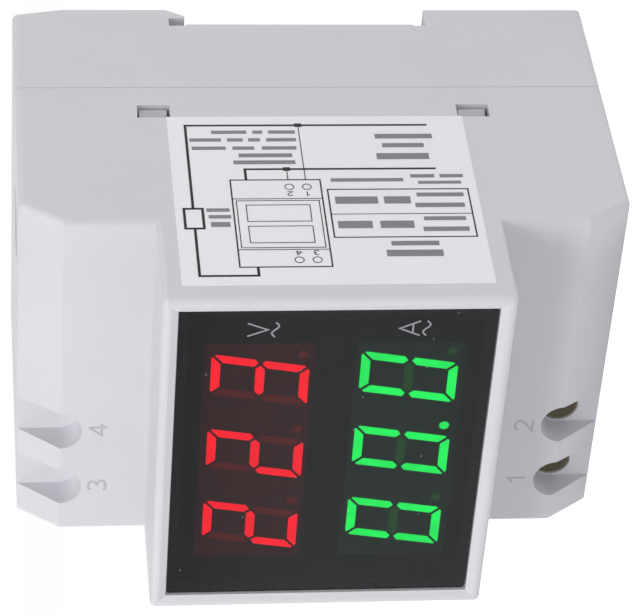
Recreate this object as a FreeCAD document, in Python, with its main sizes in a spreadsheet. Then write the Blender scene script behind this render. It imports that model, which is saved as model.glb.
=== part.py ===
"""Two-row voltage and current meter for a 35 mm mounting rail.

Row frame, millimetres: +X to the right, +Z up on the panel, the display faces -Y.
The origin is the centre of the rail seat, so a "depth" is a distance in front of
that seat (towards -Y) and a "rear" value is a distance behind it (towards +Y).
"""
import FreeCAD, Part
import os
import re

import Sketcher

SIZES = [
    # Case outline
    ("case_width", 54.0),
    ("case_height", 80.0),
    ("front_depth", 60.0),
    ("shoulder_depth", 44.2),
    ("nose_height", 45.0),
    ("corner_drop", 3.95),
    ("corner_rise", 5.7),
    ("seam_depth", 14.8),
    ("seam_gap", 0.1),
    ("edge_round", 0.8),
    ("cover_wall", 1.8),
    # Bezel and window
    ("bezel_width", 2.05),
    ("bevel_width", 0.95),
    ("bevel_depth", 0.45),
    ("window_setback", 0.8),
    ("window_thickness", 0.5),
    ("window_gap", 0.15),
    ("window_corner", 0.5),
    ("ledge_width", 1.4),
    ("ledge_thickness", 1.3),
    # Displays and their board
    ("display_width", 37.6),
    ("display_height", 14.2),
    ("display_thickness", 8.0),
    ("display_gap", 0.1),
    ("display_margin", 2.2),
    ("board_thickness", 1.6),
    ("board_margin", 0.6),
    ("corner_post", 3.8),
    ("stake_radius", 0.6),
    ("stake_height", 0.6),
    ("stake_gap", 0.1),
    # Terminal wells in the shoulders
    ("terminal_pitch", 10.16),
    ("block_margin", 1.16),
    ("well_width", 6.3),
    ("well_draft", 5.0),
    ("well_inset", 5.5),
    ("well_floor", 1.5),
    ("well_shelf", 12.0),
    ("well_side", 0.9),
    ("access_radius", 2.6),
    # Snap joints between cover and base
    ("snap_spacing", 43.2),
    ("snap_width", 4.4),
    ("snap_start", 18.8),
    ("snap_height", 2.8),
    ("tongue_width", 3.7),
    ("tongue_thickness", 1.4),
    ("tongue_root", 6.0),
    ("tongue_gap", 0.2),
    ("tongue_catch", 1.3),
    # Rail channel and the base
    ("rail_height", 35.0),
    ("leg_rear", 3.5),
    ("hook_room", 0.9),
    ("hook_slot", 1.5),
    ("hook_reach", 2.25),
    ("hook_nose", 0.5),
    ("hook_slope", 2.55),
    ("seat_relief", 0.3),
    ("seat_margin", 0.1),
    ("leg_bevel_drop", 1.3),
    ("leg_bevel_rise", 6.9),
    ("base_wall", 1.8),
    ("base_floor", 2.0),
    ("leg_skin", 1.7),
    ("rib_thickness", 1.4),
    # Rail latch
    ("latch_width", 12.0),
    ("latch_thickness", 2.0),
    ("latch_rear", 1.2),
    ("latch_recess", 0.5),
    ("wing_width", 1.8),
    ("wing_thickness", 0.85),
    ("nib_reach", 1.6),
    ("nib_slope", 1.1),
    ("slide_gap", 0.2),
    ("pull_width", 6.0),
    ("pull_height", 1.4),
    ("pull_inset", 2.2),
    # Latch spring and its pocket
    ("coil_radius", 1.5),
    ("wire_radius", 0.3),
    ("coil_pitch", 2.6),
    ("spring_gap", 0.3),
    ("spring_axis", 1.1),
    ("lug_height", 2.0),
    ("lug_inset", 0.9),
    ("pocket_foot", 6.0),
    ("pocket_wall", 1.2),
    # Wire tube and current transformer
    ("passage_radius", 5.0),
    ("wire_depth", 26.0),
    ("tube_wall", 0.8),
    ("tube_end_gap", 0.1),
    ("transformer_radius", 10.0),
    ("transformer_height", 9.0),
    ("transformer_margin", 2.2),
    ("transformer_gap", 0.2),
    ("transformer_bevel", 1.0),
    ("saddle_spacing", 48.0),
    ("saddle_width", 15.0),
    ("saddle_thickness", 2.0),
    # Terminal block and rising clamps
    ("block_depth", 11.4),
    ("block_floor", 1.0),
    ("block_roof", 1.2),
    ("block_gap", 0.3),
    ("cage_width", 6.2),
    ("cage_length", 5.0),
    ("cage_wall", 0.8),
    ("cage_floor", 1.2),
    ("cage_roof", 1.4),
    ("cage_travel", 2.0),
    ("wire_room", 4.4),
    ("bar_thickness", 0.8),
    ("bar_width", 4.0),
    ("bar_tail", 1.0),
    ("screw_radius", 1.45),
    ("screw_gap", 0.1),
    ("head_radius", 2.4),
    ("head_height", 1.6),
    ("head_gap", 0.55),
    ("head_slot_width", 0.7),
    ("head_slot_depth", 0.8),
    ("head_slot_reach", 1.68),
    ("entry_width", 5.4),
    # Main board
    ("post_radius", 2.0),
    ("post_inset", 3.0),
    ("post_low", 15.5),
    ("post_high", 4.5),
    ("transformer_clear", 1.0),
    # Parts on the boards
    ("film_length", 18.0),
    ("film_width", 6.0),
    ("film_height", 12.0),
    ("filter_radius", 4.0),
    ("filter_height", 14.0),
    ("output_radius", 3.15),
    ("output_height", 11.0),
    ("rectifier_length", 8.0),
    ("rectifier_width", 6.4),
    ("rectifier_height", 3.2),
    ("varistor_radius", 5.0),
    ("varistor_thickness", 4.0),
    ("lead_height", 1.5),
    ("lead_radius", 0.3),
    ("lead_spread", 5.0),
    ("fuse_length", 14.0),
    ("fuse_width", 3.6),
    ("fuse_height", 6.5),
    ("regulator_radius", 2.4),
    ("regulator_height", 4.6),
    ("trimmer_side", 6.6),
    ("trimmer_height", 6.0),
    ("trimmer_dial", 1.6),
    ("chip_length", 10.3),
    ("chip_width", 7.5),
    ("chip_height", 2.3),
    ("part_spacing", 1.0),
    ("pin_spacing", 2.54),
    ("header_strip", 2.5),
    ("pin_side", 0.64),
    # Side label
    ("label_thickness", 0.1),
    ("label_height", 39.9),
    ("label_start", 21.6),
    ("label_end", 3.0),
]
HEADER_PINS = 6

# Places that several pieces share, written in the sizes above
HALF_WIDTH = "case_width / 2"
HALF_HEIGHT = "case_height / 2"
ROOM_X = "(case_width / 2 - cover_wall)"
ROOM_Z = "(case_height / 2 - cover_wall)"
NOSE_Z = "(nose_height / 2 - cover_wall)"
WINDOW_X = "(case_width / 2 - bezel_width)"
WINDOW_Z = "(nose_height / 2 - bezel_width)"
LEDGE_DEPTH = "(front_depth - window_setback - window_thickness)"
NOSE_DEPTH = "(front_depth - window_setback - window_thickness - ledge_thickness)"
SHOULDER_ROOM = "(shoulder_depth - cover_wall)"
WELL_DEPTH = "(shoulder_depth - corner_drop)"
WELL_UNDER = "(shoulder_depth - corner_drop - well_floor)"
WELL_Z = "(case_height / 2 - well_inset)"
TERMINAL_MID = "(cover_wall + block_margin + terminal_pitch - case_width / 2)"
BLOCK_TOP = "(shoulder_depth - corner_drop - well_floor - head_gap - head_height)"
BLOCK_STACK = ("(block_floor + slide_gap + cage_floor + wire_room + bar_thickness"
               " + slide_gap + cage_roof + cage_travel + slide_gap + block_roof)")
BOARD_FRONT = "(%s - %s)" % (BLOCK_TOP, BLOCK_STACK)
BOARD_REAR = "(%s - board_thickness)" % BOARD_FRONT
CAGE_REAR = "(%s + block_floor + slide_gap)" % BOARD_FRONT
WIRE_REAR = "(%s + cage_floor)" % CAGE_REAR
BAR_REAR = "(%s + wire_room)" % WIRE_REAR
CAGE_ROOF = "(%s + bar_thickness + slide_gap)" % BAR_REAR
CAGE_FRONT = "(%s + cage_roof)" % CAGE_ROOF
DISPLAY_FRONT = "(%s - display_gap)" % LEDGE_DEPTH
DISPLAY_REAR = "(%s - display_thickness)" % DISPLAY_FRONT
PANEL_BOARD_REAR = "(%s - board_thickness)" % DISPLAY_REAR
DISPLAY_Z = "(nose_height / 2 - bezel_width - ledge_width - display_margin - display_height / 2)"
WIRE_X = "(case_width / 2 - cover_wall - transformer_margin - transformer_radius)"
TUBE_OUTER = "(passage_radius + tube_wall)"
BOARD_LEFT = "(cover_wall + board_margin - case_width / 2)"
BOARD_RIGHT = "(%s - transformer_radius - transformer_clear)" % WIRE_X
BOARD_TOP = "(case_height / 2 - cover_wall - board_margin)"
BLOCK_Z = "(cover_wall + block_gap - case_height / 2)"
BLOCK_END = "(cover_wall + block_gap + block_depth - case_height / 2)"
CHANNEL_LOW = "(0 - rail_height / 2)"
CHANNEL_HIGH = "(rail_height / 2 + hook_room)"
LATCH_LOW = "(latch_recess - case_height / 2)"
LUG_HIGH = "(0 - rail_height / 2 - lug_inset)"
LUG_LOW = "(0 - rail_height / 2 - lug_inset - lug_height)"
POCKET_LOW = "(pocket_foot - case_height / 2)"
SPRING_ROOM = "(coil_radius + wire_radius + spring_gap)"

document = FreeCAD.newDocument("rail_meter")
sheet = document.addObject("Spreadsheet::Sheet", "Sizes")
for row, (alias, number) in enumerate(SIZES, start=1):
    sheet.set("A%d" % row, alias)
    sheet.set("B%d" % row, str(number))
    sheet.setAlias("B%d" % row, alias)
document.recompute()

subparts = []


def cells(text):
    """Turn the size names in a formula into references to the sheet."""
    return re.sub(r"\b([a-z]+(?:_[a-z]+)+)\b", r"Sizes.\1", str(text))


def value(text):
    """Work a formula out as a number."""
    return float(sheet.evalExpression(cells(text)))


def bind(thing, name, text):
    thing.setExpression(name, cells(text))


def keep(thing, name):
    """Name a finished sub-part."""
    thing.Label = name
    subparts.append(thing)
    return thing


def new_body(name):
    return document.addObject("PartDesign::Body", "Body_" + name)


def new_sketch(body, name, role, offset="0"):
    """A sketch on one of the body's own planes, moved along the plane's normal.

    The normal of XZ_Plane is -Y, so its offset is a depth.
    """
    made = body.newObject("Sketcher::SketchObject", name)
    plane = next(entry for entry in body.Origin.OriginFeatures if entry.Role == role)
    made.AttachmentSupport = [(plane, "")]
    made.MapMode = "FlatFace"
    bind(made, "AttachmentOffset.Base.z", offset)
    return made


def add_size(sketch, kind, places, text):
    """A dimension of the sketch that follows a formula."""
    number = sketch.addConstraint(Sketcher.Constraint(kind, *places, value(text)))
    sketch.setExpression("Constraints[%d]" % number, cells(text))


def fix_point(sketch, geometry, point, across, up):
    """Hold a sketch point at a place measured from the origin."""
    add_size(sketch, "DistanceX", (-1, 1, geometry, point), across)
    add_size(sketch, "DistanceY", (-1, 1, geometry, point), up)


def add_outline(sketch, points):
    """A closed outline of straight lines through the given corners."""
    first = sketch.GeometryCount
    corners = [FreeCAD.Vector(value(across), value(up), 0) for across, up in points]
    count = len(corners)
    for place in range(count):
        sketch.addGeometry(Part.LineSegment(corners[place], corners[(place + 1) % count]), False)
    for place in range(count):
        following = first + (place + 1) % count
        sketch.addConstraint(Sketcher.Constraint("Coincident", first + place, 2, following, 1))
    for place, (across, up) in enumerate(points):
        fix_point(sketch, first + place, 1, across, up)


def add_box(sketch, left, right, low, high):
    add_outline(sketch, [(left, low), (right, low), (right, high), (left, high)])


def add_circle(sketch, across, up, radius):
    centre = FreeCAD.Vector(value(across), value(up), 0)
    geometry = sketch.addGeometry(
        Part.Circle(centre, FreeCAD.Vector(0, 0, 1), value(radius)), False)
    fix_point(sketch, geometry, 3, across, up)
    add_size(sketch, "Radius", (geometry,), radius)


def add_slot_end(sketch, across, centre_up, radius, open_up):
    """A U outline: a half circle about one point, open at the level open_up."""
    side = 1 if value(open_up) > value(centre_up) else -1
    left = FreeCAD.Vector(value(across) - value(radius), value(centre_up), 0)
    right = FreeCAD.Vector(value(across) + value(radius), value(centre_up), 0)
    bottom = FreeCAD.Vector(value(across), value(centre_up) - side * value(radius), 0)
    top_left = FreeCAD.Vector(left.x, value(open_up), 0)
    top_right = FreeCAD.Vector(right.x, value(open_up), 0)
    arc = sketch.addGeometry(Part.Arc(left, bottom, right), False)
    first = sketch.addGeometry(Part.LineSegment(right, top_right), False)
    second = sketch.addGeometry(Part.LineSegment(top_right, top_left), False)
    third = sketch.addGeometry(Part.LineSegment(top_left, left), False)
    arc_left, arc_right = (1, 2) if side > 0 else (2, 1)
    sketch.addConstraint(Sketcher.Constraint("Coincident", arc, arc_right, first, 1))
    sketch.addConstraint(Sketcher.Constraint("Coincident", first, 2, second, 1))
    sketch.addConstraint(Sketcher.Constraint("Coincident", second, 2, third, 1))
    sketch.addConstraint(Sketcher.Constraint("Coincident", third, 2, arc, arc_left))
    sketch.addConstraint(Sketcher.Constraint("Vertical", first))
    sketch.addConstraint(Sketcher.Constraint("Horizontal", second))
    sketch.addConstraint(Sketcher.Constraint("Vertical", third))
    sketch.addConstraint(Sketcher.Constraint("Horizontal", arc, 1, arc, 3))
    sketch.addConstraint(Sketcher.Constraint("Horizontal", arc, 2, arc, 3))
    fix_point(sketch, arc, 3, across, centre_up)
    add_size(sketch, "Radius", (arc,), radius)
    add_size(sketch, "DistanceY", (-1, 1, second, 1), open_up)


def add_pad(body, sketch, length, both=False, back=False):
    made = body.newObject("PartDesign::Pad", "Pad")
    made.Profile = sketch
    bind(made, "Length", length)
    if both:
        made.SideType = "Symmetric"
    made.Reversed = back
    return made


def add_pocket(body, sketch, length, both=False, back=False, draft=None):
    """A cut; it runs against the sketch's normal unless it is turned back."""
    made = body.newObject("PartDesign::Pocket", "Pocket")
    made.Profile = sketch
    bind(made, "Length", length)
    if both:
        made.SideType = "Symmetric"
    made.Reversed = back
    if draft:
        bind(made, "TaperAngle", draft)
    return made


def dress(body, kind, base, chosen, **sizes):
    """Round or bevel the edges of a feature that a test picks."""
    document.recompute()
    names = ["Edge%d" % (place + 1) for place, edge in enumerate(base.Shape.Edges)
             if chosen(edge)]
    made = body.newObject("PartDesign::" + kind, kind)
    made.Base = (base, names)
    for name, text in sizes.items():
        bind(made, name, text)
    return made


def near(first, second, tolerance=0.01):
    return abs(first - second) < tolerance


def box_shape(name, left, right, rear_depth, front_depth, low, high):
    """A block between two places along X, two depths and two heights."""
    made = document.addObject("Part::Box", "Box_" + name)
    bind(made, "Length", "%s - (%s)" % (right, left))
    bind(made, "Width", "%s - (%s)" % (front_depth, rear_depth))
    bind(made, "Height", "%s - (%s)" % (high, low))
    bind(made, "Placement.Base.x", left)
    bind(made, "Placement.Base.y", "0 - (%s)" % front_depth)
    bind(made, "Placement.Base.z", low)
    return made


ALONG_DEPTH = FreeCAD.Rotation(FreeCAD.Vector(1, 0, 0), 90)
ALONG_HEIGHT = FreeCAD.Rotation()


def rod_shape(name, radius, length, turn, across, depth, up):
    """A cylinder that starts at a place and runs the way that turn gives."""
    made = document.addObject("Part::Cylinder", "Rod_" + name)
    made.Placement = FreeCAD.Placement(FreeCAD.Vector(), turn)
    bind(made, "Radius", radius)
    bind(made, "Height", length)
    bind(made, "Placement.Base.x", across)
    bind(made, "Placement.Base.y", "0 - (%s)" % depth)
    bind(made, "Placement.Base.z", up)
    return made


def fuse_shape(name, shapes):
    made = document.addObject("Part::MultiFuse", "Fuse_" + name)
    made.Shapes = shapes
    return made


def cut_shape(name, base, tool, kind="Cut"):
    """What is left of a shape outside a tool, or inside it with the kind Common."""
    made = document.addObject("Part::" + kind, kind + "_" + name)
    made.Base = base
    made.Tool = tool
    return made


def terminal_x(side):
    """The place across of the outer (-1) or inner (+1) terminal."""
    return "(%s + %g * terminal_pitch / 2)" % (TERMINAL_MID, side)


def build_front_cover():
    """The moulded front: shoulders, display nose, bezel, wells and snap windows."""
    body = new_body("front_cover")
    rim = "(seam_depth + seam_gap)"
    profile = new_sketch(body, "cover_profile", "YZ_Plane")
    half = [
        (rim, HALF_HEIGHT),
        (WELL_DEPTH, HALF_HEIGHT),
        ("shoulder_depth", "case_height / 2 - corner_rise"),
        ("shoulder_depth", "nose_height / 2"),
        ("front_depth", "nose_height / 2"),
    ]
    add_outline(profile, mirrored_outline(half))
    shell = add_pad(body, profile, "case_width", both=True)

    limit = value(HALF_WIDTH)
    rim_place = -value(rim)
    nose_half = value("nose_height / 2")
    front = -value("front_depth")

    def is_outer_edge(edge):
        box = edge.BoundBox
        on_side = near(box.XLength, 0) and near(abs(box.XMin), limit)
        on_rim = near(box.YMin, rim_place) and near(box.YMax, rim_place)
        on_nose = box.XLength > limit and near(box.YMin, front) and near(abs(box.ZMin), nose_half)
        return (on_side and not on_rim) or on_nose

    rounded = dress(body, "Fillet", shell, is_outer_edge, Radius="edge_round")

    room = new_sketch(body, "cover_room", "YZ_Plane")
    shelf = "(case_height / 2 - well_shelf)"
    half = [
        ("seam_depth", ROOM_Z),
        (WELL_UNDER, ROOM_Z),
        (WELL_UNDER, shelf),
        (SHOULDER_ROOM, shelf),
        (SHOULDER_ROOM, NOSE_Z),
        (NOSE_DEPTH, NOSE_Z),
    ]
    add_outline(room, mirrored_outline(half))
    add_pocket(body, room, "case_width - 2 * cover_wall", both=True)

    # The shoulders are hollow beside the wells too, with an even wall
    beside = new_sketch(body, "shoulder_room", "YZ_Plane",
                        "%s / 2 + (%s) / 2" % (ROOM_X, well_edge()))
    slope = "atan(corner_drop / corner_rise)"
    for side in (1, -1):
        add_outline(beside, [
            ("0 - %s + cover_wall" % WELL_UNDER, signed(side, ROOM_Z)),
            ("cover_wall * tan((90 deg - %s) / 2) - %s" % (slope, WELL_DEPTH), signed(side, ROOM_Z)),
            ("0 - " + SHOULDER_ROOM,
             signed(side, "(case_height / 2 - corner_rise - cover_wall * tan(%s / 2))" % slope)),
            ("0 - " + SHOULDER_ROOM, signed(side, shelf)),
            ("0 - %s + cover_wall" % WELL_UNDER, signed(side, shelf)),
        ])
    add_pocket(body, beside, "%s - (%s)" % (ROOM_X, well_edge()), both=True)

    opening = new_sketch(body, "window_recess", "XZ_Plane", "front_depth")
    add_box(opening, "0 - " + WINDOW_X, WINDOW_X, "0 - " + WINDOW_Z, WINDOW_Z)
    add_pocket(body, opening, "window_setback + window_thickness")

    lit = new_sketch(body, "ledge_opening", "XZ_Plane", LEDGE_DEPTH)
    ledge_x = "(%s - ledge_width)" % WINDOW_X
    ledge_z = "(%s - ledge_width)" % WINDOW_Z
    add_box(lit, "0 - " + ledge_x, ledge_x, "0 - " + ledge_z, ledge_z)
    add_pocket(body, lit, "ledge_thickness")

    # Corner posts carry the display board on small stakes
    for level, height, radius in (
            (DISPLAY_REAR, "%s - %s" % (NOSE_DEPTH, DISPLAY_REAR), None),
            ("(%s - stake_height)" % PANEL_BOARD_REAR,
             "board_thickness + stake_height", "stake_radius")):
        posts = new_sketch(body, "corner_posts", "XZ_Plane", level)
        for side_x in (1, -1):
            for side_z in (1, -1):
                add_corner(posts, side_x, side_z, radius)
        add_pad(body, posts, height)

    for side_z in (1, -1):
        wells = new_sketch(body, "terminal_wells", "XZ_Plane", "shoulder_depth")
        for side_x in (-1, 1):
            add_slot_end(wells, terminal_x(side_x), signed(side_z, WELL_Z), "(well_width / 2)",
                         signed(side_z, "(case_height / 2 + corner_rise)"))
        add_pocket(body, wells, "corner_drop", draft="0 - well_draft")

    access = new_sketch(body, "screw_access", "XZ_Plane", WELL_DEPTH)
    for side_x in (-1, 1):
        add_circle(access, terminal_x(side_x), "0 - " + WELL_Z, "access_radius")
    add_pocket(body, access, "well_floor + cover_wall")

    entries = new_sketch(body, "wire_entries", "XY_Plane", "0 - " + ROOM_Z)
    for side_x in (-1, 1):
        middle = terminal_x(side_x)
        add_box(entries, "%s - entry_width / 2" % middle, "%s + entry_width / 2" % middle,
                "0 - " + BAR_REAR, "0 - " + WIRE_REAR)
    add_pocket(body, entries, "cover_wall")

    passage = new_sketch(body, "wire_passage", "XY_Plane")
    add_circle(passage, WIRE_X, "0 - wire_depth", "passage_radius")
    add_pocket(body, passage, "case_height + cover_wall", both=True)

    windows = new_sketch(body, "snap_windows", "YZ_Plane")
    for side in (1, -1):
        middle = signed(side, "(snap_spacing / 2)")
        add_box(windows, "0 - (snap_start + snap_height)", "0 - snap_start",
                "%s - snap_width / 2" % middle, "%s + snap_width / 2" % middle)
    add_pocket(body, windows, "case_width + cover_wall", both=True)
    document.recompute()

    window_half = value(WINDOW_X)

    def is_window_rim(edge):
        box = edge.BoundBox
        inside = max(abs(box.XMin), abs(box.XMax)) < window_half + 0.01
        return inside and near(box.YMin, front) and near(box.YMax, front)

    bevel = dress(body, "Chamfer", body.Tip, is_window_rim, Size="bevel_width",
                  Size2="bevel_depth")
    bevel.ChamferType = "Two distances"
    split_cover(body)


def split_cover(body):
    """The nose and the two shoulders as solids that meet where the step begins."""
    ends = []
    for side, name in ((-1, "lower_shoulder"), (1, "upper_shoulder")):
        step = signed(side, "(nose_height / 2)")
        beyond = signed(side, "(case_height / 2 + cover_wall)")
        low, high = (step, beyond) if side > 0 else (beyond, step)
        end = box_shape(name, "0 - case_width", "case_width", "0 - cover_wall", "front_depth + cover_wall",
                        low, high)
        keep(cut_shape(name, body, end, "Common"), name)
        ends.append(end)
    keep(cut_shape("nose", body, fuse_shape("ends", ends)), "front_cover")


def signed(side, text):
    """A place, or its mirror image across the middle."""
    return text if side > 0 else "(0 - (%s))" % text


def well_edge():
    """The right-hand side of the thick floor round the wells."""
    return "(%s + well_width / 2 + well_side)" % terminal_x(1)


def mirrored_outline(half):
    """Both halves of a profile given as depths and heights, in Y and Z."""
    upper = [("0 - " + depth, up) for depth, up in half]
    lower = [(depth, "0 - (%s)" % up) for depth, up in reversed(upper)]
    return upper + lower


def add_corner(sketch, side_x, side_z, radius):
    """One corner post, or the stake on it when a radius is given."""
    middle_x = signed(side_x, "(%s - corner_post / 2)" % ROOM_X)
    middle_z = signed(side_z, "(%s - corner_post / 2)" % NOSE_Z)
    if radius:
        add_circle(sketch, middle_x, middle_z, radius)
        return
    add_box(sketch, "%s - corner_post / 2" % middle_x, "%s + corner_post / 2" % middle_x,
            "%s - corner_post / 2" % middle_z, "%s + corner_post / 2" % middle_z)


def build_rear_base():
    """The moulded rear: rail channel, fixed hook, latch guide, posts and snap tongues.

    The seat steps back under the hook and the latch's nib, so that the rail lies flat on it.
    """
    body = new_body("rear_base")
    profile = new_sketch(body, "base_profile", "YZ_Plane")
    lip_low = "(%s - hook_reach)" % CHANNEL_HIGH
    add_outline(profile, [
        ("0 - seam_depth", "0 - case_height / 2"),
        ("leg_rear", "0 - case_height / 2"),
        ("leg_rear", CHANNEL_LOW),
        ("0 - seat_relief", CHANNEL_LOW),
        ("0 - seat_relief", "%s + nib_reach + seat_margin" % CHANNEL_LOW),
        ("0", "%s + nib_reach + seat_margin" % CHANNEL_LOW),
        ("0", "%s - seat_margin" % lip_low),
        ("0 - seat_relief", "%s - seat_margin" % lip_low),
        ("0 - seat_relief", CHANNEL_HIGH),
        ("hook_slot", CHANNEL_HIGH),
        ("hook_slot", lip_low),
        ("hook_slot + hook_nose", lip_low),
        ("leg_rear", "%s + hook_slope" % lip_low),
        ("leg_rear", "case_height / 2 - leg_bevel_rise"),
        ("leg_rear - leg_bevel_drop", HALF_HEIGHT),
        ("0 - seam_depth", HALF_HEIGHT),
    ])
    shell = add_pad(body, profile, "case_width", both=True)

    limit = value(HALF_WIDTH)
    rim_place = -value("seam_depth")

    def is_side_edge(edge):
        box = edge.BoundBox
        behind = box.YMax > rim_place + 0.01
        end = near(abs(box.ZMin), value(HALF_HEIGHT)) and near(abs(box.ZMax), value(HALF_HEIGHT))
        return near(box.XLength, 0) and near(abs(box.XMin), limit) and behind and end

    dress(body, "Fillet", shell, is_side_edge, Radius="edge_round")

    room = new_sketch(body, "base_room", "XZ_Plane", "base_floor")
    inner_x = "(case_width / 2 - base_wall)"
    inner_z = "(case_height / 2 - base_wall)"
    add_box(room, "0 - " + inner_x, inner_x, "0 - " + inner_z, inner_z)
    add_pocket(body, room, "seam_depth", back=True)

    # The legs are cored from the inside, with ribs left between the cores
    cores = new_sketch(body, "leg_cores", "XZ_Plane", "base_floor")
    guide = "(latch_width / 2 + wing_width + slide_gap + rib_thickness)"
    top_low = "(%s + base_wall)" % CHANNEL_HIGH
    low_high = "(%s - base_wall)" % CHANNEL_LOW
    third = "(%s - rib_thickness) * 2 / 3" % inner_x
    for side in (1, -1):
        inner, outer = signed(side, guide), signed(side, inner_x)
        left, right = (inner, outer) if side > 0 else (outer, inner)
        add_box(cores, left, right, "0 - " + inner_z, low_high)
        inner = signed(side, "(%s / 2 + rib_thickness)" % third)
        left, right = (inner, outer) if side > 0 else (outer, inner)
        add_box(cores, left, right, top_low, inner_z)
    add_box(cores, "0 - %s / 2" % third, "%s / 2" % third, top_low, inner_z)
    add_pocket(body, cores, "base_floor + leg_rear - leg_bevel_drop - leg_skin")

    # Housing of the latch spring, inside the base
    house = new_sketch(body, "spring_house", "XZ_Plane", "base_floor")
    house_x = "(%s + pocket_wall)" % SPRING_ROOM
    add_box(house, "0 - " + house_x, house_x, "%s - pocket_wall" % POCKET_LOW,
            "%s + slide_gap + pocket_wall" % LUG_HIGH)
    add_pad(body, house, "spring_axis + %s + pocket_wall - base_floor" % SPRING_ROOM)

    # Posts and stakes of the main board, rooted in the skin behind the cores
    foot = "(leg_rear - leg_bevel_drop - leg_skin / 2)"
    for level, height, radius in (
            ("0 - " + foot, "%s + %s" % (BOARD_REAR, foot), "post_radius"),
            (BOARD_REAR, "board_thickness + stake_height", "stake_radius")):
        posts = new_sketch(body, "board_posts", "XZ_Plane", level)
        for across, up in post_places():
            add_circle(posts, across, up, radius)
        add_pad(body, posts, height)

    # Saddles under the wire tube, rooted in the same skin
    for side in (1, -1):
        saddle = new_sketch(body, "tube_saddle", "XY_Plane",
                            signed(side, "(saddle_spacing / 2)"))
        add_box(saddle, "%s - saddle_width / 2" % WIRE_X, "%s + saddle_width / 2" % WIRE_X,
                "0 - wire_depth", foot)
        add_pad(body, saddle, "saddle_thickness", both=True)
    seats = new_sketch(body, "saddle_seats", "XY_Plane")
    add_circle(seats, WIRE_X, "0 - wire_depth", "(%s + transformer_gap)" % TUBE_OUTER)
    add_pocket(body, seats, "saddle_spacing + 2 * saddle_thickness", both=True)

    # Latch guide: a wide groove for the wings under a narrower slot
    floor = "(latch_rear - slide_gap)"
    slot = new_sketch(body, "latch_slot", "XZ_Plane", "0 - leg_rear")
    slot_x = "(latch_width / 2 + slide_gap)"
    add_box(slot, "0 - " + slot_x, slot_x, "0 - case_height / 2 - cover_wall", CHANNEL_LOW)
    add_pocket(body, slot, "leg_rear - " + floor, back=True)
    groove = new_sketch(body, "wing_groove", "XZ_Plane", "0 - " + floor)
    groove_x = "(latch_width / 2 + wing_width + slide_gap)"
    add_box(groove, "0 - " + groove_x, groove_x, "0 - case_height / 2 - cover_wall", CHANNEL_LOW)
    add_pocket(body, groove, "wing_thickness + 2 * slide_gap")
    pocket = new_sketch(body, "spring_pocket", "XZ_Plane", "0 - " + floor)
    add_box(pocket, "0 - " + SPRING_ROOM, SPRING_ROOM, POCKET_LOW, "%s + slide_gap" % LUG_HIGH)
    add_pocket(body, pocket, "%s + spring_axis + %s" % (floor, SPRING_ROOM), back=True)

    # Snap tongues that reach into the cover's windows
    inside = "(%s - tongue_gap)" % ROOM_X
    bottom = "(0 - seam_depth + tongue_root)"
    for side_z in (1, -1):
        tongue = new_sketch(body, "snap_tongues", "XY_Plane",
                            signed(side_z, "(snap_spacing / 2)"))
        for side_x in (1, -1):
            add_outline(tongue, [
                (signed(side_x, "(%s - tongue_thickness)" % inside), bottom),
                (signed(side_x, "(%s + tongue_gap + base_wall / 2)" % inside), bottom),
                (signed(side_x, "(%s + tongue_gap + base_wall / 2)" % inside),
                 "tongue_gap - seam_depth"),
                (signed(side_x, inside), "0 - seam_depth"),
                (signed(side_x, inside), "0 - snap_start - tongue_gap"),
                (signed(side_x, "(%s + tongue_catch)" % inside), "0 - snap_start - tongue_gap"),
                (signed(side_x, inside), "tongue_gap - snap_start - snap_height"),
                (signed(side_x, "(%s - tongue_thickness)" % inside),
                 "tongue_gap - snap_start - snap_height"),
            ])
        add_pad(body, tongue, "tongue_width", both=True)
    return keep(body, "rear_base")


def post_places():
    """Where the main board's posts stand, as places across and up."""
    left = "(%s + post_inset)" % BOARD_LEFT
    right = "(%s - post_inset)" % BOARD_RIGHT
    low = "(post_low - case_height / 2)"
    high = "(case_height / 2 - cover_wall - post_high)"
    return [(left, low), (right, low), (left, high), (right, high)]


def build_rail_latch():
    """The sliding latch: winged plate, lug for the spring, nib and pull slot."""
    body = new_body("rail_latch")
    plate = new_sketch(body, "plate", "XZ_Plane", "0 - latch_rear - latch_thickness")
    add_box(plate, "0 - latch_width / 2", "latch_width / 2", LATCH_LOW, CHANNEL_LOW)
    add_pad(body, plate, "latch_thickness")
    wings = new_sketch(body, "wings", "XZ_Plane", "0 - latch_rear - wing_thickness")
    wing_x = "(latch_width / 2 + wing_width)"
    add_box(wings, "0 - " + wing_x, wing_x, LATCH_LOW, CHANNEL_LOW)
    add_pad(body, wings, "wing_thickness")
    lug = new_sketch(body, "lug", "XZ_Plane", "0 - latch_rear - latch_thickness / 2")
    lug_x = "(%s - slide_gap)" % SPRING_ROOM
    add_box(lug, "0 - " + lug_x, lug_x, LUG_LOW, LUG_HIGH)
    add_pad(body, lug, "latch_rear + latch_thickness / 2 + spring_axis + coil_radius")
    nib = new_sketch(body, "nib", "YZ_Plane")
    rear = "(latch_rear + latch_thickness)"
    add_outline(nib, [
        ("latch_rear", "%s - nib_reach" % CHANNEL_LOW),
        (rear, "%s - nib_reach" % CHANNEL_LOW),
        (rear, "%s + nib_reach - nib_slope" % CHANNEL_LOW),
        ("latch_rear + latch_thickness / 2", "%s + nib_reach" % CHANNEL_LOW),
        ("latch_rear", "%s + nib_reach" % CHANNEL_LOW),
    ])
    add_pad(body, nib, "latch_width", both=True)
    pull = new_sketch(body, "pull_slot", "XZ_Plane", "0 - latch_rear")
    add_box(pull, "0 - pull_width / 2", "pull_width / 2", "%s + pull_inset" % LATCH_LOW,
            "%s + pull_inset + pull_height" % LATCH_LOW)
    add_pocket(body, pull, "latch_thickness")
    return keep(body, "rail_latch")


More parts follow.
